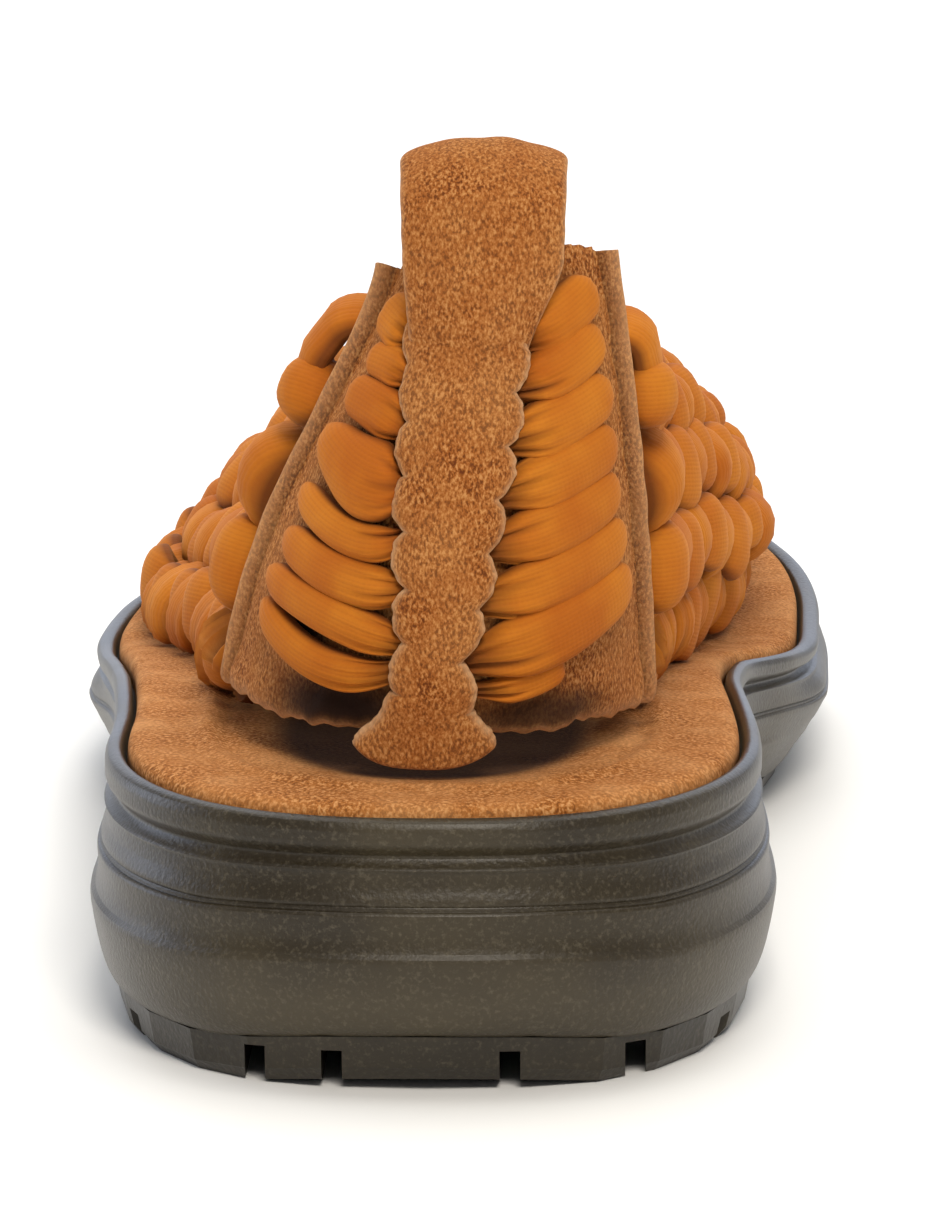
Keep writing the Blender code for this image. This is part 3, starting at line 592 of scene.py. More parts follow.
PANEL_BASE_STATION = 52.0
PANEL_TOP_STATION = 40.0
PANEL_TOP_SHARE = 0.866

# The last: half widths as shares of half its ball width, ridge as a share of the instep height, how hard
# each side leans in as it rises, and how far the top leans to the medial side
LAST = table(
    "station lateral medial ridge lateral_slope medial_slope lean",
    [
        (26.0, 0.52, 0.53, 1.27, 2.00, 0.95, 10.5),
        (56.0, 0.52, 0.53, 1.23, 2.05, 0.95, 9.5),
        (81.0, 0.57, 0.60, 1.08, 2.10, 1.05, 8.0),
        (110.0, 0.66, 0.70, 1.00, 2.35, 1.05, 8.0),
        (150.0, 0.83, 0.84, 0.93, 2.30, 1.00, 8.0),
        (185.0, 0.93, 0.93, 0.82, 1.70, 0.90, 7.0),
        (205.0, 0.94, 0.96, 0.72, 1.30, 0.85, 6.0),
        (275.0, 0.88, 0.98, 0.55, 1.00, 0.85, 4.0),
    ],
)

# Back view of the heel: how far the wall stands behind or ahead of its foot as it rises
BACK_CURVE = table(
    "height forward",
    [(0.0, 0.0), (10.0, -2.4), (24.0, -4.0), (42.0, -2.0), (56.0, 1.5), (70.0, 4.0)],
)


def on_last(base_x, base_station, share):
    """A point on the last: risen from its foot to a share of the ridge, on an arch that leans in."""
    medial = base_x > 0.0
    height = INSTEP_HEIGHT * read(LAST, "ridge", base_station) * share
    medial_slope = read(LAST, "medial_slope", base_station)
    slope = np.where(medial, medial_slope, read(LAST, "lateral_slope", base_station))
    slope = slope + (medial_slope - slope) * share**4
    tuck = np.where(medial, MEDIAL_TUCK, LATERAL_TUCK) * ease((base_station - TUCK_START) / TUCK_FADE)
    tucked = 1.0 - tuck * clamp(1.0 - height / TUCK_HEIGHT) ** 2
    leaned = read(LAST, "lean", base_station) * share**2
    x = base_x * np.sqrt(clamp(1.0 - share**2)) ** slope * tucked + leaned
    heel_end = LAST_BACK + LAST_HEEL_DEPTH
    into_heel = np.minimum(base_station, heel_end) - LAST_BACK
    flat = HEEL_FLATTEN * share**2 * into_heel * (1.0 - ease((base_station - heel_end) / FLATTEN_FADE))
    backness = clamp((heel_end - base_station) / LAST_HEEL_DEPTH)
    station = base_station - flat + read(BACK_CURVE, "forward", height) * backness
    return np.stack(np.broadcast_arrays(x, station, footbed_height(station) + GAP + height), axis=-1)


def last_edges(station):
    """Signed half widths of the last's plan at a station, rounded towards the back."""
    half = LAST_BALL_WIDTH / 2.0
    into = clamp((LAST_BACK + LAST_HEEL_DEPTH - station) / LAST_HEEL_DEPTH)
    heel = np.sqrt(1.0 - into**2)
    return -half * read(LAST, "lateral", station) * heel, half * read(LAST, "medial", station) * heel


def panel_station(share):
    """Station at which the heel panel ends, further back the higher it is."""
    rise = np.clip(share / PANEL_TOP_SHARE, 0.0, 1.1)
    return PANEL_BASE_STATION + (PANEL_TOP_STATION - PANEL_BASE_STATION) * rise


def woven_wall(across, row):
    """The wall that the tapes follow: across is -1 lateral to 1 medial, and row is in tapes from the panel.

    Behind the toe a row is an arch of the last, and over the toe the square of weave is laid on half a dome.
    """
    across, row = np.broadcast_arrays(np.asarray(across, float), np.asarray(row, float))
    side_rows = REAR_ROWS + VAMP_ROWS
    side_row = np.clip(row, -2.0, side_rows)
    share = np.cos(np.abs(across) * math.pi / 2.0)
    start = PANEL_BASE_STATION + GAP
    straight = start + (TOE_START - start) * side_row / side_rows
    slanted = (panel_station(share) - PANEL_BASE_STATION) * (1.0 - ease(side_row / 6.0))
    collar = TOP_TAPES / ALL_ACROSS
    past_throat = clamp((side_row - REAR_ROWS) / VAMP_ROWS)
    scoop = THROAT_DEPTH * clamp(1.0 - (across / collar) ** 2) * (1.0 - past_throat)
    station = straight + slanted + scoop
    lateral, medial = last_edges(station)
    # On the ridge itself the arch's base is put all but in the middle, where it makes no difference
    base_x = np.where(across > 0.0, medial, lateral) * np.where(across == 0.0, 1e-9, 1.0)
    arch = on_last(base_x, station, share)
    forward = clamp((row - side_rows) / TOE_ROWS)
    u = across * np.sqrt(1.0 - forward**2 / 2.0)
    v = forward * np.sqrt(1.0 - across**2 / 2.0)
    reach = clamp(np.hypot(u, v))
    turn = np.arctan2(v, np.abs(u))
    reach = reach + TOE_EVENING * np.sin(turn) ** 2 * (reach**3.4 - reach)
    power = 2.0 / LAST_TOE_SQUARENESS
    lateral, medial = last_edges(np.full_like(across, TOE_START))
    base_x = np.where(across > 0.0, medial, lateral) * np.abs(np.cos(turn)) ** power
    toe = on_last(base_x, np.full_like(across, TOE_START), np.cos(reach * math.pi / 2.0))
    forward_by = LAST_TOE_DEPTH * np.abs(np.sin(turn)) ** power * np.sin(reach * math.pi / 2.0) ** 0.9
    toe[..., 0] += TOE_SWING * ease(v) * np.abs(np.sin(turn))
    toe[..., 2] += footbed_height(TOE_START + forward_by) - footbed_height(np.full_like(v, TOE_START))
    toe[..., 1] = TOE_START + forward_by
    return np.where((row < side_rows)[..., None], arch, toe)


def unit(vectors):
    """Vectors made one long."""
    return vectors / np.maximum(np.linalg.norm(vectors, axis=-1, keepdims=True), 1e-9)


def wall_frame(across, row):
    """The wall's point, its steps to the medial side and to the toe, and its outward normal."""
    nudge = 2e-3
    inner = np.clip(across, -1.0 + nudge, 1.0 - nudge)
    ahead = np.clip(row, nudge, ALL_ROWS - nudge)
    point = woven_wall(across, row)
    to_medial = (woven_wall(inner + nudge, row) - woven_wall(inner - nudge, row)) / (2.0 * nudge)
    to_toe = (woven_wall(across, ahead + nudge) - woven_wall(across, ahead - nudge)) / (2.0 * nudge)
    return point, to_medial, to_toe, unit(np.cross(to_medial, to_toe))


CELL = 2.0 / ALL_ACROSS
SAMPLES_A_TAPE = 10
POINTS_ROUND = 32
TAPE_DEPTH = 1.2

# A tape's middle over the last, its rise over that middle, and its half width as a share of its spacing.
# The amounts that VARY set how far these differ at random from crossing to crossing.
LIFT_MIDDLE = 0.3
LIFT = 1.9
LIFT_VARY = 1.1
PUFF_UNDER = 1.0
PUFF = 2.2
LATERAL_FIRST_PUFF = 4.3
MEDIAL_FIRST_PUFF = 3.4
PUFF_VARY = 0.9
WIDTH_UNDER = 0.60
WIDTH_ON_TOP = 0.42
WIDTH_VARY = 0.42
FOOT_WIDTH = 0.16
SIDEWAYS_VARY = 2.2

# Creases across a tape: where it dips, at its foot by the panel and how much less further on, and everywhere
DIP_FOLD = 0.45
FIRST_FOOT_FOLD = 2.3
FOOT_FOLD_LESS = 1.3
LEAST_FOLD = 0.03
LOBES = 2.6
FIRST_LOBES = 4.6
# Painted shade on a tape's sides where it meets its neighbours, and in the valleys of its gathers
SIDE_SHADE = 0.9
VALLEY_SHADE = 0.8

# Near the panel: how far the collar drops, how the first crosswise tape runs, where the lengthwise ones start
COLLAR_DROP = 0.10
FIRST_SLIM = 0.20
LATERAL_FIRST_ROW = 0.74
MEDIAL_FIRST_ROW = 0.70
FIRST_FOOT_AHEAD = 0.55
FIRST_FOOT_CELL = 0.45
FIRST_EARLY = 0.85
BESIDE_COLLAR_START = 1.7
LATERAL_START = 0.16
MEDIAL_START = 0.10

# Folds over the collar's edge: their radius, the open loop's, the tail inside, and how early they turn
WRAP_RADIUS = 2.4
OPEN_LOOP_RADIUS = 2.9
RING_STAND_OFF = 3.6
WRAP_TAIL = 7.0
WRAP_EARLY = 0.35

# Where a tape folds over that edge, it stays on top over its last cells, is slimmer by the end of its tail,
# and its tail ends in painted shade
CLOSED_CELLS = 0.3
CLOSING_CELLS = 0.6
OPEN_LOOP_FLATTER = 0.45
END_WIDTH = 0.8
END_RISE = 1.1
END_DEPTH = 0.9
END_FOLD = 0.15
END_CREASE_SHADE = 0.6

# Every tape is closed by rounding its last rings, the first of them to a small section and not to a point
ROUNDED_RINGS = 3.0
FIRST_RING = 0.35

# The knit's ribs and stitches, about 0.3 mm apart in the real tape and drawn coarser, so that they show
RIB_PITCH = 0.55
STITCH_PITCH = 0.60
KNIT_PATCHES = 90.0
FUZZ_MM = 0.3125

# How far the tapes have settled inside the last, from the foot of the wall up to its ridge. From
# SETTLED_ROWS on, that fades out over SETTLED_FADE rows.
SETTLED_ROWS = 16.0
SETTLED_FADE = 4.0
SETTLE = table(
    "rise lateral medial",
    [
        (0.00, 0.0, 4.6),
        (0.10, 2.2, 3.2),
        (0.20, 4.8, 1.4),
        (0.30, 5.0, 2.0),
        (0.50, 5.0, 3.6),
        (0.75, 5.0, 4.6),
        (1.00, 5.0, 4.8),
    ],
)


def scatter(first, second, seed):
    """Numbers from 0 to 1 that look random and are the same in every run: the fraction of a large sine."""
    wave = np.sin(first * 12.9898 + second * 78.233 + seed * 37.719) * 43758.5453
    return wave - np.floor(wave)


def tape_rings(middle, outward, half_width, rise, depth, fold, lobes, phase):
    """The skin of a padded tape along a path: its rings, their places across and along it, and the painted
    shade in its valleys.

    Each ring is a soft rectangle, half_width to each side, rise outwards and depth inwards. Its outer face is
    gathered into lobes as high as fold, by the size of a cosine across the tape: round ridges, sharp valleys.
    """
    along = unit(np.gradient(middle, axis=0))
    outward = unit(outward - (outward * along).sum(-1, keepdims=True) * along)
    beside = np.cross(outward, along)
    turn = np.linspace(0.0, 2.0 * math.pi, POINTS_ROUND, endpoint=False)
    across = np.sign(np.cos(turn)) * np.abs(np.cos(turn)) ** 0.8
    up = np.sign(np.sin(turn)) * np.abs(np.sin(turn)) ** 0.9
    height = np.where(up > 0.0, rise[:, None], depth[:, None]) * up
    ridges = 1.6 * np.abs(np.cos(math.pi / 2.0 * lobes * across + phase)) - 1.0
    gathers = ridges[None, :] * fold[:, None] * np.sqrt(clamp(up))
    points = middle[:, None] + beside[:, None] * (half_width[:, None] * across)[..., None]
    points = points + outward[:, None] * (height + gathers)[..., None]
    length = np.concatenate([[0.0], np.cumsum(np.linalg.norm(np.diff(middle, axis=0), axis=1))])
    place = np.stack(np.broadcast_arrays(half_width[:, None] * across, length[:, None]), -1)
    return points, place, (VALLEY_SHADE * -gathers).clip(0.0, 1.0)


def padded_tapes(name, tapes, material, nodes):
    """One piece from the skins of padded tapes, each closed at both ends, that stands for CAD nodes."""
    points, places, creases, faces = [], [], [], []
    first = 0
    for rings, place, crease_shade in tapes:
        count, around = rings.shape[:2]
        ends = first + np.array([np.arange(around)[::-1], (count - 1) * around + np.arange(around)])
        faces += [grid_quads(count, around, True) + first, ends]
        points.append(rings.reshape(-1, 3))
        places.append(place.reshape(-1, 2))
        # Painted shade on each tape's sides, where it lies against its neighbours
        outwards = np.sin(np.arange(around) * 2.0 * math.pi / around)
        side_shade = SIDE_SHADE * (1.0 - outwards).clip(0.0, 1.0) ** 2
        creases.append(np.maximum(crease_shade, side_shade[None, :]).ravel())
        first += count * around
    points = np.vstack(points)
    points[:, 2] = np.maximum(points[:, 2], footbed_height(points[:, 1]) + GAP)
    piece = make_piece(name, points, faces, material, {"crease_shade": np.concatenate(creases)}, np.vstack(places))
    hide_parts(*nodes)


def over_collar(middle, outward, tangent, radius):
    """A path and its normals, carried on over the collar's edge by a half circle and a tail down inside."""
    edge_out = outward[-1]
    bend = np.linspace(0.0, math.pi, 15)[1:, None]
    arc = middle[-1] + edge_out * radius * (np.cos(bend) - 1.0) + tangent * radius * np.sin(bend)
    tail = arc[-1] - tangent * np.linspace(0.0, WRAP_TAIL, 8)[1:, None]
    arc_out = edge_out * np.cos(bend) + tangent * np.sin(bend)
    tail_out = np.broadcast_to(-edge_out, tail.shape)
    return np.vstack([middle, arc, tail]), np.vstack([outward, arc_out, tail_out])


def woven_tape(number, cells, lengthwise, wrap_radius):
    """One tape of the weave over a run of cells, each cell being its crossing with one tape of the other way.

    It rises and dips by a cosine from cell to cell, wider and fuller where it lies on top. Where wrap_radius
    isn't nothing, its end turns round the collar's edge on a half circle and goes back down inside.
    """
    first_crosswise = number == 0 and not lengthwise
    fixed = np.full_like(cells, number + 0.5)
    if first_crosswise:
        up_from_foot = np.minimum(cells, ALL_ACROSS - cells)
        fixed = np.where(cells < ALL_ACROSS / 2.0, LATERAL_FIRST_ROW, MEDIAL_FIRST_ROW)
        fixed = fixed + FIRST_FOOT_AHEAD * (1.0 - ease(up_from_foot / 1.5))
    row, across = (cells, fixed * CELL - 1.0) if lengthwise else (fixed, cells * CELL - 1.0)
    squeeze = 1.0 - COLLAR_DROP * (1.0 - ease((row - 2.5) / 4.5))
    across = np.sign(across) * (1.0 - (1.0 - np.abs(across)) * squeeze)
    if lengthwise:
        point, beside, ahead, outward = wall_frame(across, row)
        spacing = np.linalg.norm(beside, axis=-1) * CELL / 2.0 * squeeze
    else:
        point, ahead, beside, outward = wall_frame(across, row)
        spacing = np.linalg.norm(beside, axis=-1) / 2.0

    # over is 1 where the tape lies on top of the one it crosses, and -1 where it dips under it
    sign = (1.0 if number % 2 == 0 else -1.0) * (-1.0 if lengthwise else 1.0)
    wave = sign * np.cos(math.pi * (cells - 0.5))
    closing = np.zeros_like(cells)
    if wrap_radius:
        closing = 1.0 - ease((np.abs(cells - cells[-1]) - CLOSED_CELLS) / CLOSING_CELLS)
        wave = wave + (1.0 - wave) * closing
    over = np.sign(wave) * np.abs(wave) ** 0.7
    on_top = np.maximum(over, 0.0)

    # Each amount differs from crossing to crossing, from -0.5 to 0.5, and changes smoothly between them
    cell = np.floor(cells - 0.5)
    mix = ease(cells - 0.5 - cell)
    family = 10.0 if lengthwise else 20.0
    vary_width, vary_puff, vary_sideways, vary_lift = (
        scatter(cell, number, family + k) * (1.0 - mix) + scatter(cell + 1.0, number, family + k) * mix - 0.5
        for k in range(4)
    )
    foot_cells = ALL_ROWS - cells if lengthwise else np.minimum(cells, ALL_ACROSS - cells)
    if first_crosswise:
        foot_cells = foot_cells - FIRST_FOOT_CELL
    foot = 1.0 - ease(foot_cells / (0.9 if lengthwise else 1.2))
    past_panel = ease((row - 0.8) / 1.7)
    width = (1.0 - FIRST_SLIM * (1.0 - past_panel)) * (WIDTH_UNDER + WIDTH_ON_TOP * on_top)
    half_width = spacing * width * (1.0 + WIDTH_VARY * vary_width) * (1.0 + FOOT_WIDTH * foot)
    first_puff = np.where(across < 0.0, LATERAL_FIRST_PUFF, MEDIAL_FIRST_PUFF)
    puff = first_puff - (first_puff - PUFF) * past_panel
    rise = PUFF_UNDER + puff * on_top + PUFF_VARY * vary_puff
    depth = np.full_like(cells, TAPE_DEPTH)
    foot_fold = FIRST_FOOT_FOLD - FOOT_FOLD_LESS * ease((row - 2.5) / 2.0)
    fold = DIP_FOLD * (1.0 - np.abs(wave)) ** 2 + foot_fold * foot + LEAST_FOLD

    # Pulled tight between the last and the foot, the tapes have sunk in, least at the toe and by the panel
    up_wall = 1.0 - np.abs(across)
    settled = np.where(across < 0.0, read(SETTLE, "lateral", up_wall), read(SETTLE, "medial", up_wall))
    settled = settled * np.maximum(past_panel, 1.0 - ease(up_wall / 0.25))
    settled = settled * (1.0 - ease((row - SETTLED_ROWS) / SETTLED_FADE))
    lift = LIFT_MIDDLE + LIFT * over + LIFT_VARY * vary_lift * on_top - settled
    if first_crosswise and wrap_radius:
        lift = lift + (wrap_radius - WRAP_RADIUS) * RING_STAND_OFF * closing
        rise = rise * (1.0 - OPEN_LOOP_FLATTER * closing)
    # Painted shade where the tape dips under the one it crosses
    crease_shade = clamp(1.0 - 0.5 * (over + 1.0))
    beside = unit(np.cross(outward, ahead))
    middle = point + outward * lift[:, None] + beside * (SIDEWAYS_VARY * vary_sideways)[:, None]
    if wrap_radius:
        middle, outward = over_collar(middle, outward, unit(point[-1] - point[-4]), wrap_radius)
        more = len(middle) - len(cells)
        half_width = np.append(half_width, half_width[-1] * np.linspace(1.0, END_WIDTH, more))
        rise = np.append(rise, np.linspace(rise[-1], END_RISE, more))
        depth = np.append(depth, np.linspace(TAPE_DEPTH, END_DEPTH, more))
        fold = np.append(fold, np.full(more, END_FOLD))
        crease_shade = np.append(crease_shade, np.linspace(crease_shade[-1], END_CREASE_SHADE, more))
    ends = np.minimum(np.arange(len(middle)), np.arange(len(middle))[::-1])
    rounded = np.sqrt(clamp(1.0 - (1.0 - (ends + FIRST_RING) / ROUNDED_RINGS).clip(0.0) ** 2))
    half_width, rise, depth, fold = (size * rounded for size in (half_width, rise, depth, fold))
    phase = 6.0 * scatter(number, 0.0, family + 5.0)
    lobes = FIRST_LOBES if number < 3 and not lengthwise else LOBES
    rings, place, valley = tape_rings(middle, outward, half_width, rise, depth, fold, lobes, phase)
    return rings, place, np.maximum(crease_shade[:, None], valley)


def cell_run(first, last):
    """Cell positions from first to last, evenly spaced."""
    return np.linspace(first, last, int(round(abs(last - first) * SAMPLES_A_TAPE)) + 1)


def stretch_tape_material():
    """Padded tube of stretch knit: fine ribs along it, a soft sheen of fibre ends, and painted shade in its
    creases.

    Its mottling is counted to the metre, in patches of about 11 mm.
    """
    material, tree, shader = new_material("knitted_stretch_tape")
    place = add_node(tree, "TexCoord").outputs["Object"]
    tape = add_node(tree, "UVMap", {"uv_map": "along_piece"}).outputs[0]
    mottle = add_node(tree, "TexNoise", Vector=place, Scale=KNIT_PATCHES, Detail=3.0).outputs["Fac"]
    shade = add_node(tree, "MapRange", i0=mottle, i1=0.35, i2=0.65).outputs[0]
    tone = add_node(tree, "Mix", RGBA, i0=shade, i6=linear("#a9590c"), i7=linear("#bb6f18")).outputs[2]
    # Painted shade from the piece's mark, towards a dark brown, in creases, on the sides and where a tape
    # dips under
    crease_shade = add_node(tree, "Attribute", {"attribute_name": "crease_shade"}).outputs["Fac"]
    darker = add_node(tree, "MapRange", i0=crease_shade, i1=0.15, i2=0.70, i4=0.85).outputs[0]
    tone = add_node(tree, "Mix", RGBA, i0=darker, i6=tone, i7=linear("#5c2c08")).outputs[2]
    # A wave texture repeats every pi/10 of its scaled coordinate, and this UV map is in units of 10 mm
    waves = []
    for bands, pitch, waver in (("X", RIB_PITCH, 0.6), ("Y", STITCH_PITCH, 0.8)):
        lie = {"bands_direction": bands}
        scale = math.pi / pitch
        wave = add_node(tree, "TexWave", lie, Vector=tape, Scale=scale, Distortion=waver, Detail=1.0)
        waves.append(wave.outputs["Fac"])
    ribs, stitches = waves
    knit = add_node(tree, "Math", {"operation": "MULTIPLY_ADD"}, i0=stitches, i1=0.3, i2=ribs).outputs[0]
    fuzz = add_node(tree, "TexNoise", Vector=place, Scale=1.0 / (FUZZ_MM * MM), Detail=2.0).outputs["Fac"]
    height = add_node(tree, "Math", {"operation": "ADD"}, i0=knit, i1=fuzz).outputs[0]
    bump = add_node(tree, "Bump", Height=height, Strength=0.35, Distance=0.08 * MM)
    # Painted shade between the knit's ribs
    between = add_node(tree, "MapRange", i0=knit, i1=0.0, i2=0.7, i3=0.20, i4=0.0).outputs[0]
    tone = add_node(tree, "Mix", RGBA, i0=between, i6=tone, i7=linear("#8f4713")).outputs[2]
    fill(shader, Base_Color=tone, Normal=bump.outputs[0], Roughness=0.85, Specular_IOR_Level=0.25)
    fill(shader, Sheen_Weight=0.22, Sheen_Roughness=0.45, Sheen_Tint=linear("#e09c50"))
    return material


knit = stretch_tape_material()
lengthwise_tapes = []
for number in range(ALL_ACROSS):
    on_top = SIDE_TAPES <= number < SIDE_TAPES + TOP_TAPES
    beside_collar = number in (SIDE_TAPES - 1, SIDE_TAPES + TOP_TAPES)
    low_start = LATERAL_START if number < SIDE_TAPES else MEDIAL_START
    start = REAR_ROWS if on_top else (BESIDE_COLLAR_START if beside_collar else low_start)
    wrap = WRAP_RADIUS if on_top and number % 2 == 1 else 0.0
    lengthwise_tapes.append(woven_tape(number, cell_run(ALL_ROWS, start), True, wrap))
crosswise_tapes = []
for number in range(ALL_ROWS):
    if number >= REAR_ROWS:
        crosswise_tapes.append(woven_tape(number, cell_run(0.0, ALL_ACROSS), False, 0.0))
    else:
        wrap = WRAP_RADIUS if number % 2 == 0 else 0.0
        early = FIRST_EARLY if number == 0 else (WRAP_EARLY if wrap else 0.0)
        foot_cell = FIRST_FOOT_CELL if number == 0 else 0.0
        lateral_wrap = OPEN_LOOP_RADIUS if number == 0 else wrap
        lateral_cells = cell_run(foot_cell, SIDE_TAPES - early)
        medial_cells = cell_run(ALL_ACROSS - foot_cell, SIDE_TAPES + TOP_TAPES + early)
        crosswise_tapes.append(woven_tape(number, lateral_cells, False, lateral_wrap))
        crosswise_tapes.append(woven_tape(number, medial_cells, False, wrap))
padded_tapes("upper_lengthwise_tapes", lengthwise_tapes, knit, ["upper"])
padded_tapes("upper_crosswise_tapes", crosswise_tapes, knit, ["upper"])


# Heel panel: a trapezoid of thick split suede round the heel, with a cord piped into each side edge and a
# line of stitching beside it. Its lower edge is cut raw and stands a little off the footbed.
SUEDE = 2.0
PANEL_LIFT = 4.5
PANEL_TOP = 61.0
PANEL_TOP_LEAN = 1.75
PANEL_TOP_DROP = 4.0
PIPING_WIDTH = 1.9
PIPING_RISE = 1.6
PIPING_GROOVE = 1.0
STITCH_LINE = 3.2
STITCH_GROOVE = 0.35
LOW_EDGE_FLARE = 1.1
LATERAL_SLACK = 0.13
MEDIAL_SLACK = 0.05
LATERAL_CORNER_FLARE = 2.2
MEDIAL_CORNER_FLARE = 0.8
EDGE_SPAN = 40.0

# Places on the panel painted dark as painted shade, low down under its tapes: turn, height, their two sizes,
# and how dark
SHADED_PLACES = (
    (-0.42, 7.4, 0.42, 4.4, 1.0),
    (-0.70, 16.5, 0.30, 2.6, 1.0),
    (0.50, 6.6, 0.40, 2.8, 0.9),
)


def heel_surface(turn, height):
    """A point on the back of the last, by the turn round the heel from its back and the height on it."""
    turn, height = np.broadcast_arrays(np.asarray(turn, float), np.asarray(height, float))
    station = LAST_BACK + LAST_HEEL_DEPTH * (1.0 - np.cos(turn))
    lateral, medial = last_edges(np.full_like(station, LAST_BACK + LAST_HEEL_DEPTH))
    base_x = np.where(turn > 0.0, medial, -lateral) * np.sin(turn)
    return on_last(base_x, station, height / (INSTEP_HEIGHT * read(LAST, "ridge", station)))


def heel_frame(turn, height):
    """The heel's point, its unit steps to the medial side and up, and its outward normal."""
    nudge = 0.02
    point = heel_surface(turn, height)
    to_medial = heel_surface(turn + nudge, height) - heel_surface(turn - nudge, height)
    up = heel_surface(turn, height + nudge) - heel_surface(turn, height - nudge)
    return point, unit(to_medial), unit(up), unit(np.cross(to_medial, up))


def on_heel(turn, height, offset):
    """A point that stands off the heel by an offset along its normal."""
    point, _, _, outward = heel_frame(turn, height)
    return point + outward * np.asarray(offset)[..., None]


def panel_turn(height):
    """Turn round the heel at which the panel ends, at a height."""
    ridge = INSTEP_HEIGHT * read(LAST, "ridge", np.full_like(height, PANEL_BASE_STATION))
    station = panel_station(height / ridge)
    return np.arccos(np.clip(1.0 - (station - LAST_BACK) / LAST_HEEL_DEPTH, -1.0, 1.0))


def from_edge(surface):
    """Each point's distance in millimetres from the nearer side edge of a grid, measured along its row."""
    step = np.linalg.norm(np.diff(surface, axis=1), axis=2)
    from_left = np.concatenate([np.zeros((len(step), 1)), np.cumsum(step, axis=1)], axis=1)
    return np.minimum(from_left, from_left[:, -1:] - from_left)


def ripple(u, v, pitch, seed):
    """Uneven waves about 1 high over a plane, the sum of five sines of differing directions and lengths."""
    total = np.zeros(np.broadcast(u, v).shape)
    for k in range(5):
        angle = 2.0 * math.pi * scatter(k, 1.0, seed)
        length = pitch * (0.6 + 1.1 * scatter(k, 2.0, seed))
        total += np.sin((u * np.cos(angle) + v * np.sin(angle)) * 2.0 * math.pi / length + 7.0 * k + seed)
    return total / 2.5


def across_sheet(columns):
    """Places across a sheet from -1 to 1, by a sine, so that they are closest together at its edges."""
    return np.sin(np.linspace(-1.0, 1.0, columns) * math.pi / 2.0)[None, :]


def thinned(distance, share, reach):
    """Thickness at a distance from a cut edge: 1, less a share at the edge that dies away within a reach."""
    return 1.0 - share * np.exp(-distance / reach)


def suede_sheet(name, outer, inner, material, nodes, raw, painted_shade):
    """A closed sheet from its outer and its inner grid, joined all round their borders.

    The two marks give how pale each point is, where its cut edge is bare and where a painted highlight lies,
    and how dark its painted shade is.
    """
    rows, columns = outer.shape[:2]
    front = grid_quads(rows, columns, False)
    count = rows * columns
    index = np.arange(count).reshape(rows, columns)
    border = np.concatenate([index[0, :-1], index[:-1, -1], index[-1, :0:-1], index[:0:-1, 0]])
    after = np.roll(border, -1)
    rim = np.stack([after, border, border + count, after + count], -1)
    points = np.vstack([outer.reshape(-1, 3), inner.reshape(-1, 3)])
    painted_shade = np.broadcast_to(painted_shade, (rows, columns))
    marks = {"raw_edge_and_highlight": np.tile(raw.ravel(), 2), "painted_shade": np.tile(painted_shade.ravel(), 2)}
    piece = make_piece(name, points, [front, front[:, ::-1] + count, rim], material, marks)
    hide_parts(*nodes)


heel_suede = suede("split_heel_suede", "#a45d24", "#683210", "#ca8e52", 0.34, 0.25, "#dfb283")
rise = np.linspace(0.0, 1.0, 120)[:, None]
spread = 0.5 * across_sheet(161) + 0.5 * np.linspace(-1.0, 1.0, 161)[None, :]
panel_low = PANEL_LIFT - spread + 0.40 * ripple(spread * EDGE_SPAN, 0.0, 3.0, 3.0)
panel_top = PANEL_TOP + PANEL_TOP_LEAN * spread - PANEL_TOP_DROP * spread**2
panel_top = panel_top + 0.25 * ripple(spread * EDGE_SPAN, 0.0, 3.0, 4.0)
panel_heights = panel_low + (panel_top - panel_low) * rise
near_top = rise**8
slack = np.where(spread < 0.0, LATERAL_SLACK, MEDIAL_SLACK) * near_top
panel_turns = spread * (panel_turn(panel_heights) + slack)
corner_flare = np.where(spread < 0.0, LATERAL_CORNER_FLARE, MEDIAL_CORNER_FLARE) * near_top
corner_flare = corner_flare * np.abs(spread) ** 5
edge_distance = from_edge(heel_surface(panel_turns, panel_heights))
low_distance = panel_heights - panel_low
across_piping = 2.0 * edge_distance / PIPING_WIDTH - 1.0
bead = PIPING_RISE * np.sqrt(clamp(1.0 - across_piping**2))
groove = PIPING_GROOVE * bell(edge_distance - PIPING_WIDTH, 0.45)
groove += STITCH_GROOVE * bell(edge_distance - STITCH_LINE, 0.4)
thickness = SUEDE * thinned(edge_distance, 0.5, 0.5) * thinned(low_distance, 0.45, 0.6)
waving = 0.5 + 0.5 * ripple(spread * 45.0, 0.0, 14.0, 5.0)
flare = LOW_EDGE_FLARE * (1.0 - ease(low_distance / 6.0)) * waving + corner_flare
lumps = 0.10 * ripple(panel_turns * 35.0, panel_heights, 7.0, 8.0)
panel_outer = on_heel(panel_turns, panel_heights, thickness + bead - groove + flare + lumps)
panel_inner = on_heel(panel_turns, panel_heights, 0.1 + flare * 0.9)
# Pale where the lower edge is cut raw, and a painted highlight along the top of the piping's bead
panel_raw_and_highlight = np.maximum(np.exp(-low_distance / 0.7), 0.45 * (bead / PIPING_RISE) ** 2)
# Painted shade in the groove beside the piping and in the places above, none of it on the cut lower edge
panel_painted_shade = 0.55 * bell(edge_distance - PIPING_WIDTH - 0.3, 0.5)
for place_turn, place_height, size_turn, size_height, amount in SHADED_PLACES:
    beside = (panel_turns - place_turn) / size_turn
    above = (panel_heights - place_height) / size_height
    panel_painted_shade = np.maximum(panel_painted_shade, amount * bell(beside**2 + above**2, 1.0))
panel_painted_shade = panel_painted_shade * (1.0 - bell(low_distance, 0.8))
suede_sheet("heel_panel_suede", panel_outer, panel_inner, heel_suede, ["heel_panel"], panel_raw_and_highlight, panel_painted_shade)


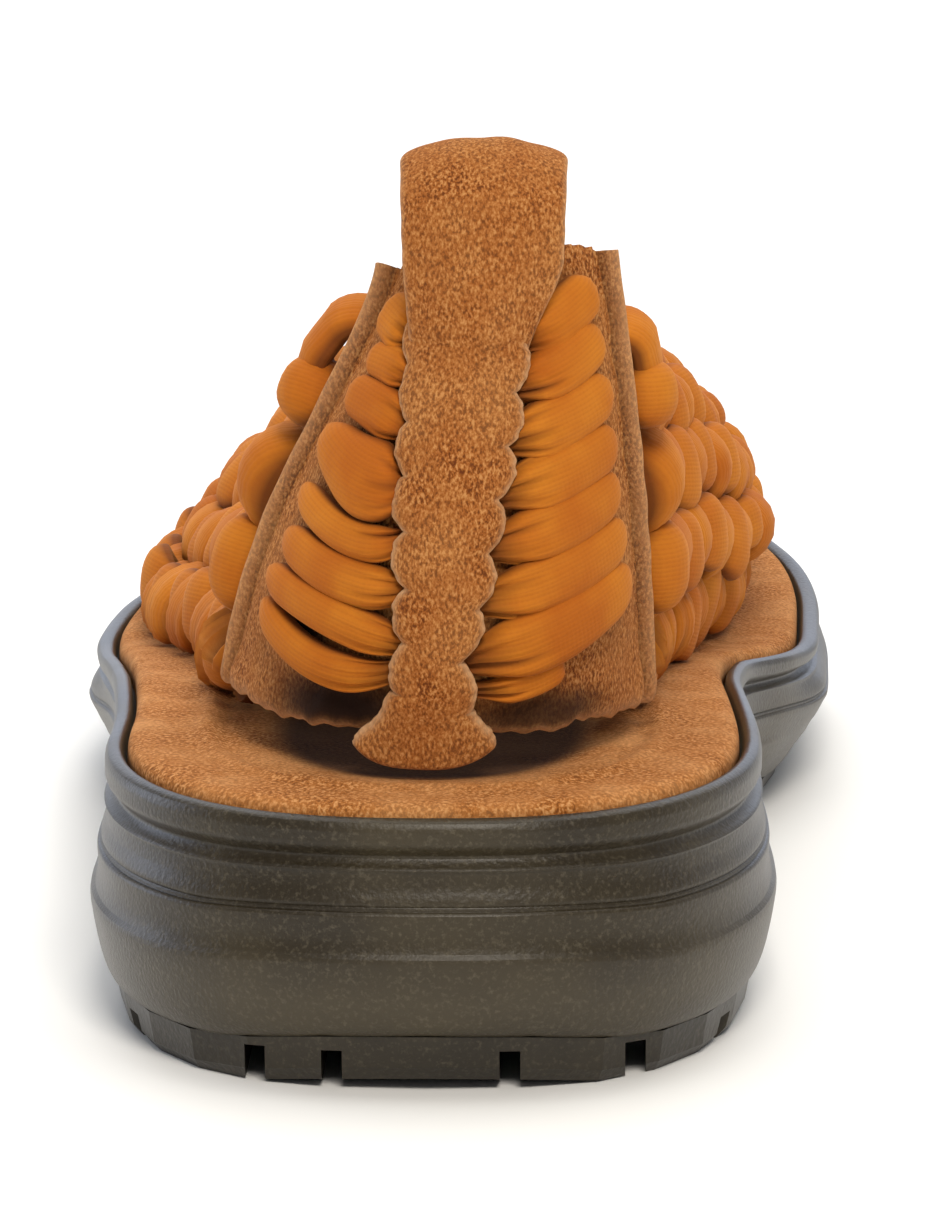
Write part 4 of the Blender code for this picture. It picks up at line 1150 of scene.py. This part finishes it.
# Heel tapes: seven padded tapes a side, each caught under the strip at one end, pinched there into a fan of
# creases, and rounded off against the panel's piping at the other. The lowest lateral one gapes open.
HEEL_TAPES = table(
    "side number start_turn start middle_turn middle end_turn end half_width plump belly",
    [
        (1, 7, 0.24, 49.8, 0.45, 52.4, 0.68, 56.0, 2.9, 3.0, 0.10),
        (1, 6, 0.24, 44.6, 0.47, 46.6, 0.72, 50.4, 3.0, 3.2, 0.10),
        (1, 5, 0.22, 38.6, 0.48, 40.8, 0.80, 44.2, 3.1, 3.3, 0.10),
        (1, 4, 0.22, 32.6, 0.50, 34.8, 0.84, 38.2, 3.2, 3.3, 0.10),
        (1, 3, 0.19, 26.8, 0.50, 28.8, 0.87, 32.8, 3.2, 3.3, 0.12),
        (1, 2, 0.15, 20.8, 0.51, 22.8, 0.93, 27.2, 3.2, 3.3, 0.12),
        (1, 1, 0.13, 13.8, 0.50, 16.6, 0.97, 21.6, 3.6, 3.6, 0.18),
        (1, 1, 0.19, 10.2, 0.40, 10.6, 0.58, 12.4, 1.8, 2.2, 0.0),
        (-1, 7, 0.45, 49.6, 0.58, 50.6, 0.75, 51.6, 2.9, 3.0, 0.12),
        (-1, 6, 0.34, 44.9, 0.51, 46.0, 0.72, 46.4, 2.1, 2.7, 0.12),
        (-1, 5, 0.27, 39.2, 0.48, 41.2, 0.77, 42.4, 2.6, 3.0, 0.12),
        (-1, 4, 0.21, 33.8, 0.42, 33.6, 0.80, 37.8, 2.9, 4.0, 0.62),
        (-1, 3, 0.16, 28.4, 0.42, 26.9, 0.87, 31.2, 2.1, 3.0, 0.05),
        (-1, 2, 0.11, 22.5, 0.42, 22.4, 0.88, 25.8, 2.5, 3.1, 0.10),
        (-1, 1, 0.09, 15.6, 0.42, 17.8, 0.94, 21.2, 2.3, 3.2, 0.10),
        (-1, 1, 0.12, 13.0, 0.50, 12.4, 0.93, 17.9, 2.2, 3.0, 0.05),
    ],
)
HEEL_TAPE_SAMPLES = 46
UNDER_STRIP = 0.14
CLEAR_OF_STRIP = 0.40
ROUNDED_FROM = 0.84
ROUNDED_OVER = 0.162
PANEL_GAP = 0.05
GATHER = 1.0
GATHER_LOBES = 3.2
PINCH_SHADE = 0.75


def heel_tape(row):
    """One tape on the panel: a parabola through its three named places, pinched into creases at the strip.

    t is 0 by the strip, under which it runs on, and 1 at its rounded end by the piping.
    """
    t = np.linspace(-UNDER_STRIP, 1.0, HEEL_TAPE_SAMPLES)
    side, number = HEEL_TAPES["side"][row], HEEL_TAPES["number"][row]
    start, middle, end = (1.0 - t) * (1.0 - 2.0 * t), 4.0 * t * (1.0 - t), t * (2.0 * t - 1.0)
    turn, height = (
        sum(share * HEEL_TAPES[name][row] for share, name in zip((start, middle, end), names))
        for names in (("start_turn", "middle_turn", "end_turn"), ("start", "middle", "end"))
    )
    point, _, _, outward = heel_frame(side * turn, height)
    out_of_strip = ease((t + 0.02) / CLEAR_OF_STRIP)
    rounded = np.sqrt(clamp(1.0 - clamp((t - ROUNDED_FROM) / ROUNDED_OVER) ** 2))
    belly = 1.0 + HEEL_TAPES["belly"][row] * np.sin(math.pi * clamp(t)) ** 2
    half_width = HEEL_TAPES["half_width"][row] * (0.55 + 0.49 * out_of_strip) * belly * rounded
    plump = HEEL_TAPES["plump"][row]
    rise = (0.7 + (plump - 1.9) * out_of_strip) * (0.3 + 0.7 * rounded)
    depth = (0.5 + 0.7 * out_of_strip) * (0.3 + 0.7 * rounded)
    fold = GATHER * (1.0 - ease((t - 0.10) / 0.55)) + 0.05
    lifted = point + outward * (SUEDE + PANEL_GAP + depth)[:, None]
    if side > 0.0:
        lifted, outward, half_width, rise, depth, fold, out_of_strip = (
            values[::-1] for values in (lifted, outward, half_width, rise, depth, fold, out_of_strip)
        )
    phase = 6.0 * scatter(number, side, 4.0)
    rings, place, valley = tape_rings(lifted, outward, half_width, rise, depth, fold, GATHER_LOBES, phase)
    # Painted shade where the tape is pinched in under the strip
    return rings, place, np.maximum(PINCH_SHADE * (1.0 - out_of_strip)[:, None], valley)


for side, side_name in ((-1, "lateral"), (1, "medial")):
    for number in range(1, 8):
        rows = np.flatnonzero((HEEL_TAPES["side"] == side) & (HEEL_TAPES["number"] == number))
        tapes = [heel_tape(row) for row in rows]
        node = f"heel_tape_{side_name}_{number}"
        padded_tapes(f"{node}_knit", tapes, knit, [node])


# Heel strip: a scalloped strip of split suede down the middle of the heel, over the tapes' ends. It is sewn
# down at the cusps of its scallops, and its tail flares out onto the footbed. Its cut edges show pale.
STRIP_EDGES = table(
    "height lateral medial",
    [
        (0.0, 0.330, 0.270),
        (4.5, 0.290, 0.245),
        (9.0, 0.200, 0.170),
        (14.0, 0.150, 0.135),
        (20.0, 0.160, 0.185),
        (26.0, 0.195, 0.210),
        (32.0, 0.235, 0.230),
        (38.0, 0.280, 0.250),
        (43.5, 0.340, 0.255),
        (49.0, 0.430, 0.255),
        (57.5, 0.460, 0.270),
    ],
)
SCALLOP_PITCH = 5.95
LATERAL_CUSP = 10.6
MEDIAL_CUSP = 8.5
SCALLOP_LAST = 52.3
SCALLOP_DEPTH = 1.5
EDGE_FRAY = 0.13
HEEL_RADIUS = 28.0
STRIP_LOW = 1.6
STRIP_TOP = 57.0
STRIP_SUEDE = 2.1
STRIP_CROWN = 0.5
TAIL_ROUND = 3.4
TAIL_FLARE = 3.0
OVER_TAPES = 1.5

strip_heights = np.linspace(STRIP_LOW, STRIP_TOP, 300)[:, None]
strip_across = across_sheet(45)


def scallops(height, first_cusp, seed):
    """How far the strip's edge bulges at a height: sine lobes between sharp cusps, and a little fraying."""
    lobe = np.abs(np.sin((height - first_cusp) * math.pi / SCALLOP_PITCH)) ** 0.7
    scalloped = (height > first_cusp) & (height < SCALLOP_LAST)
    return np.where(scalloped, SCALLOP_DEPTH * (lobe - 0.5), 0.0) + EDGE_FRAY * ripple(height, 0.0, 1.5, seed)


lateral_turn = -read(STRIP_EDGES, "lateral", strip_heights)
lateral_turn -= scallops(strip_heights, LATERAL_CUSP, 6.0) / HEEL_RADIUS
medial_turn = read(STRIP_EDGES, "medial", strip_heights)
medial_turn += scallops(strip_heights, MEDIAL_CUSP, 9.0) / HEEL_RADIUS
strip_turns = (lateral_turn + medial_turn) / 2.0 + strip_across * (medial_turn - lateral_turn) / 2.0
tail_round = TAIL_ROUND * np.abs(strip_across) ** 3 * (1.0 - ease(strip_heights / 9.0))
strip_rises = np.broadcast_to(strip_heights, strip_turns.shape) + tail_round
strip_edge = from_edge(heel_surface(strip_turns, strip_rises))
strip_flare = TAIL_FLARE * clamp(1.0 - strip_rises / 8.0) ** 1.2
end_edge = np.minimum(strip_edge, strip_heights - strip_heights[0])
strip_sheet = STRIP_SUEDE * thinned(end_edge, 0.6, 0.55) + STRIP_CROWN * (1.0 - strip_across**2)
strip_lumps = 0.12 * ripple(strip_turns * HEEL_RADIUS, strip_rises, 6.0, 2.0)
on_tapes = OVER_TAPES * ease(strip_rises / 12.0) + GAP
strip_outer = on_heel(strip_turns, strip_rises, SUEDE + on_tapes + strip_sheet + strip_flare + strip_lumps)
strip_inner = on_heel(strip_turns, strip_rises, SUEDE + on_tapes + strip_flare)
for grid in (strip_outer, strip_inner):
    grid[..., 2] = np.maximum(grid[..., 2], footbed_height(grid[..., 1]) + GAP)
fray = 0.75 + 0.25 * ripple(strip_heights, strip_across * 3.0, 1.1, 9.0)
strip_raw = (bell(end_edge, 0.5) * fray).clip(0.0, 1.0)
suede_sheet("heel_strip_suede", strip_outer, strip_inner, heel_suede, ["heel_strip"], strip_raw, 0.0)


# Pull loop: a wide tab of the same suede, folded over the top of the heel. Its inner leaf is glued inside
# the panel, and its outer leaf is sewn down on the strip, whose nap hides the join.
LOOP_BOTTOM = 52.5
LOOP_HEIGHT = 18.8
LOOP_ARCH = 2.2
LOOP_WIDTH = 19.0
LOOP_CURVE = 3.2
LOOP_SPREAD = 1.8
LOOP_TURN = 0.42
LOOP_OUTER = 8.2
LOOP_INNER = -1.35
LOOP_JOIN = 3.5
LOOP_HALF = 0.95
LOOP_COLUMNS = 45
OUTER_ROWS = 45
FOLD_ROWS = 34
INNER_ROWS = 25
JOIN_ROWS = 40

# The loop's middle column gives the two directions, back and up, in which its folded leaf stands
middle_column = LOOP_COLUMNS // 2
loop_across = across_sheet(LOOP_COLUMNS)
loop_turns = LOOP_TURN * loop_across
foot_point, _, foot_up, foot_away = heel_frame(loop_turns[0], np.full(LOOP_COLUMNS, LOOP_BOTTOM))
foot_away = unit(foot_away * np.array([1.0, 1.0, 0.0]))
loop_back = np.array([0.0, *foot_away[middle_column, 1:]])
loop_up = unit(foot_up[middle_column] * np.array([0.0, 1.0, 1.0]))

# Its section, as distances back and up: the outer leg, a half circle at the fold, and the inner leg
fold_at = LOOP_OUTER + LOOP_SPREAD
fold_radius = (fold_at - LOOP_INNER) / 2.0
fold_foot = LOOP_HEIGHT - fold_radius
bend = np.linspace(0.0, math.pi, FOLD_ROWS)[:, None]
fold_middle = np.array([fold_at - fold_radius, fold_foot])
fold_path = fold_middle + fold_radius * np.hstack([np.cos(bend), np.sin(bend)])
outer_leg = np.linspace([LOOP_OUTER - 1.9, -LOOP_JOIN], [fold_at, fold_foot], OUTER_ROWS + 1)[:-1]
inner_leg = np.linspace([LOOP_INNER, fold_foot], [LOOP_INNER, -2.0], INNER_ROWS + 1)[1:]
loop_path = np.vstack([outer_leg, fold_path, inner_leg])
offset, climb = loop_path[:, :1], loop_path[:, 1:]
risen = clamp(climb / LOOP_HEIGHT)
arched = climb + LOOP_ARCH * (1.0 - loop_across**2) * risen**3
on_panel = np.minimum(climb, PANEL_TOP - LOOP_BOTTOM)
inner_leaf = heel_surface(*np.broadcast_arrays(loop_turns, LOOP_BOTTOM + on_panel))
inner_leaf = inner_leaf + offset[..., None] * foot_away + (arched - on_panel)[..., None] * loop_up
outside = ease(2.0 * (offset - LOOP_INNER) / (LOOP_OUTER - LOOP_INNER))
corner = np.where(loop_across > 0.0, 0.42, 0.05) * (1.0 - ease((climb + LOOP_JOIN) / 12.0)) * outside
sideways = loop_across * LOOP_WIDTH / 2.0 * (0.93 + 0.07 * risen) * (1.0 - corner)
recede = LOOP_CURVE * loop_across**2 * (1.0 - 0.45 * risen)
outer_leaf = foot_point[middle_column] + arched[..., None] * loop_up
outer_leaf = outer_leaf + (offset - recede)[..., None] * loop_back
outer_leaf[..., 0] += sideways
loop_middle = inner_leaf + outside[..., None] * (outer_leaf - inner_leaf)
loop_out = -unit(np.cross(np.gradient(loop_middle, axis=1), np.gradient(loop_middle, axis=0)))

# Thin at its edges, and thinnest where it is sewn down on the strip
loop_edge = from_edge(loop_middle)
loop_rows = np.arange(len(loop_path))[:, None]
join = np.where(loop_rows < JOIN_ROWS, 0.08 + 0.92 * ease((climb + LOOP_JOIN) / 3.0), 1.0)
loop_half = LOOP_HALF * thinned(loop_edge, 0.55, 0.5) * join
loop_lumps = 0.08 * ripple(loop_across * 10.0, 0.6 * (loop_rows + 1.0), 5.0, 7.0)
loop_outer = loop_middle - loop_out * (loop_half + loop_lumps)[..., None]
loop_inner = loop_middle + loop_out * loop_half[..., None]
loop_raw = 0.35 * bell(loop_edge, 0.5)
suede_sheet("pull_loop_suede", loop_outer, loop_inner, heel_suede, ["pull_loop"], loop_raw, 0.0)
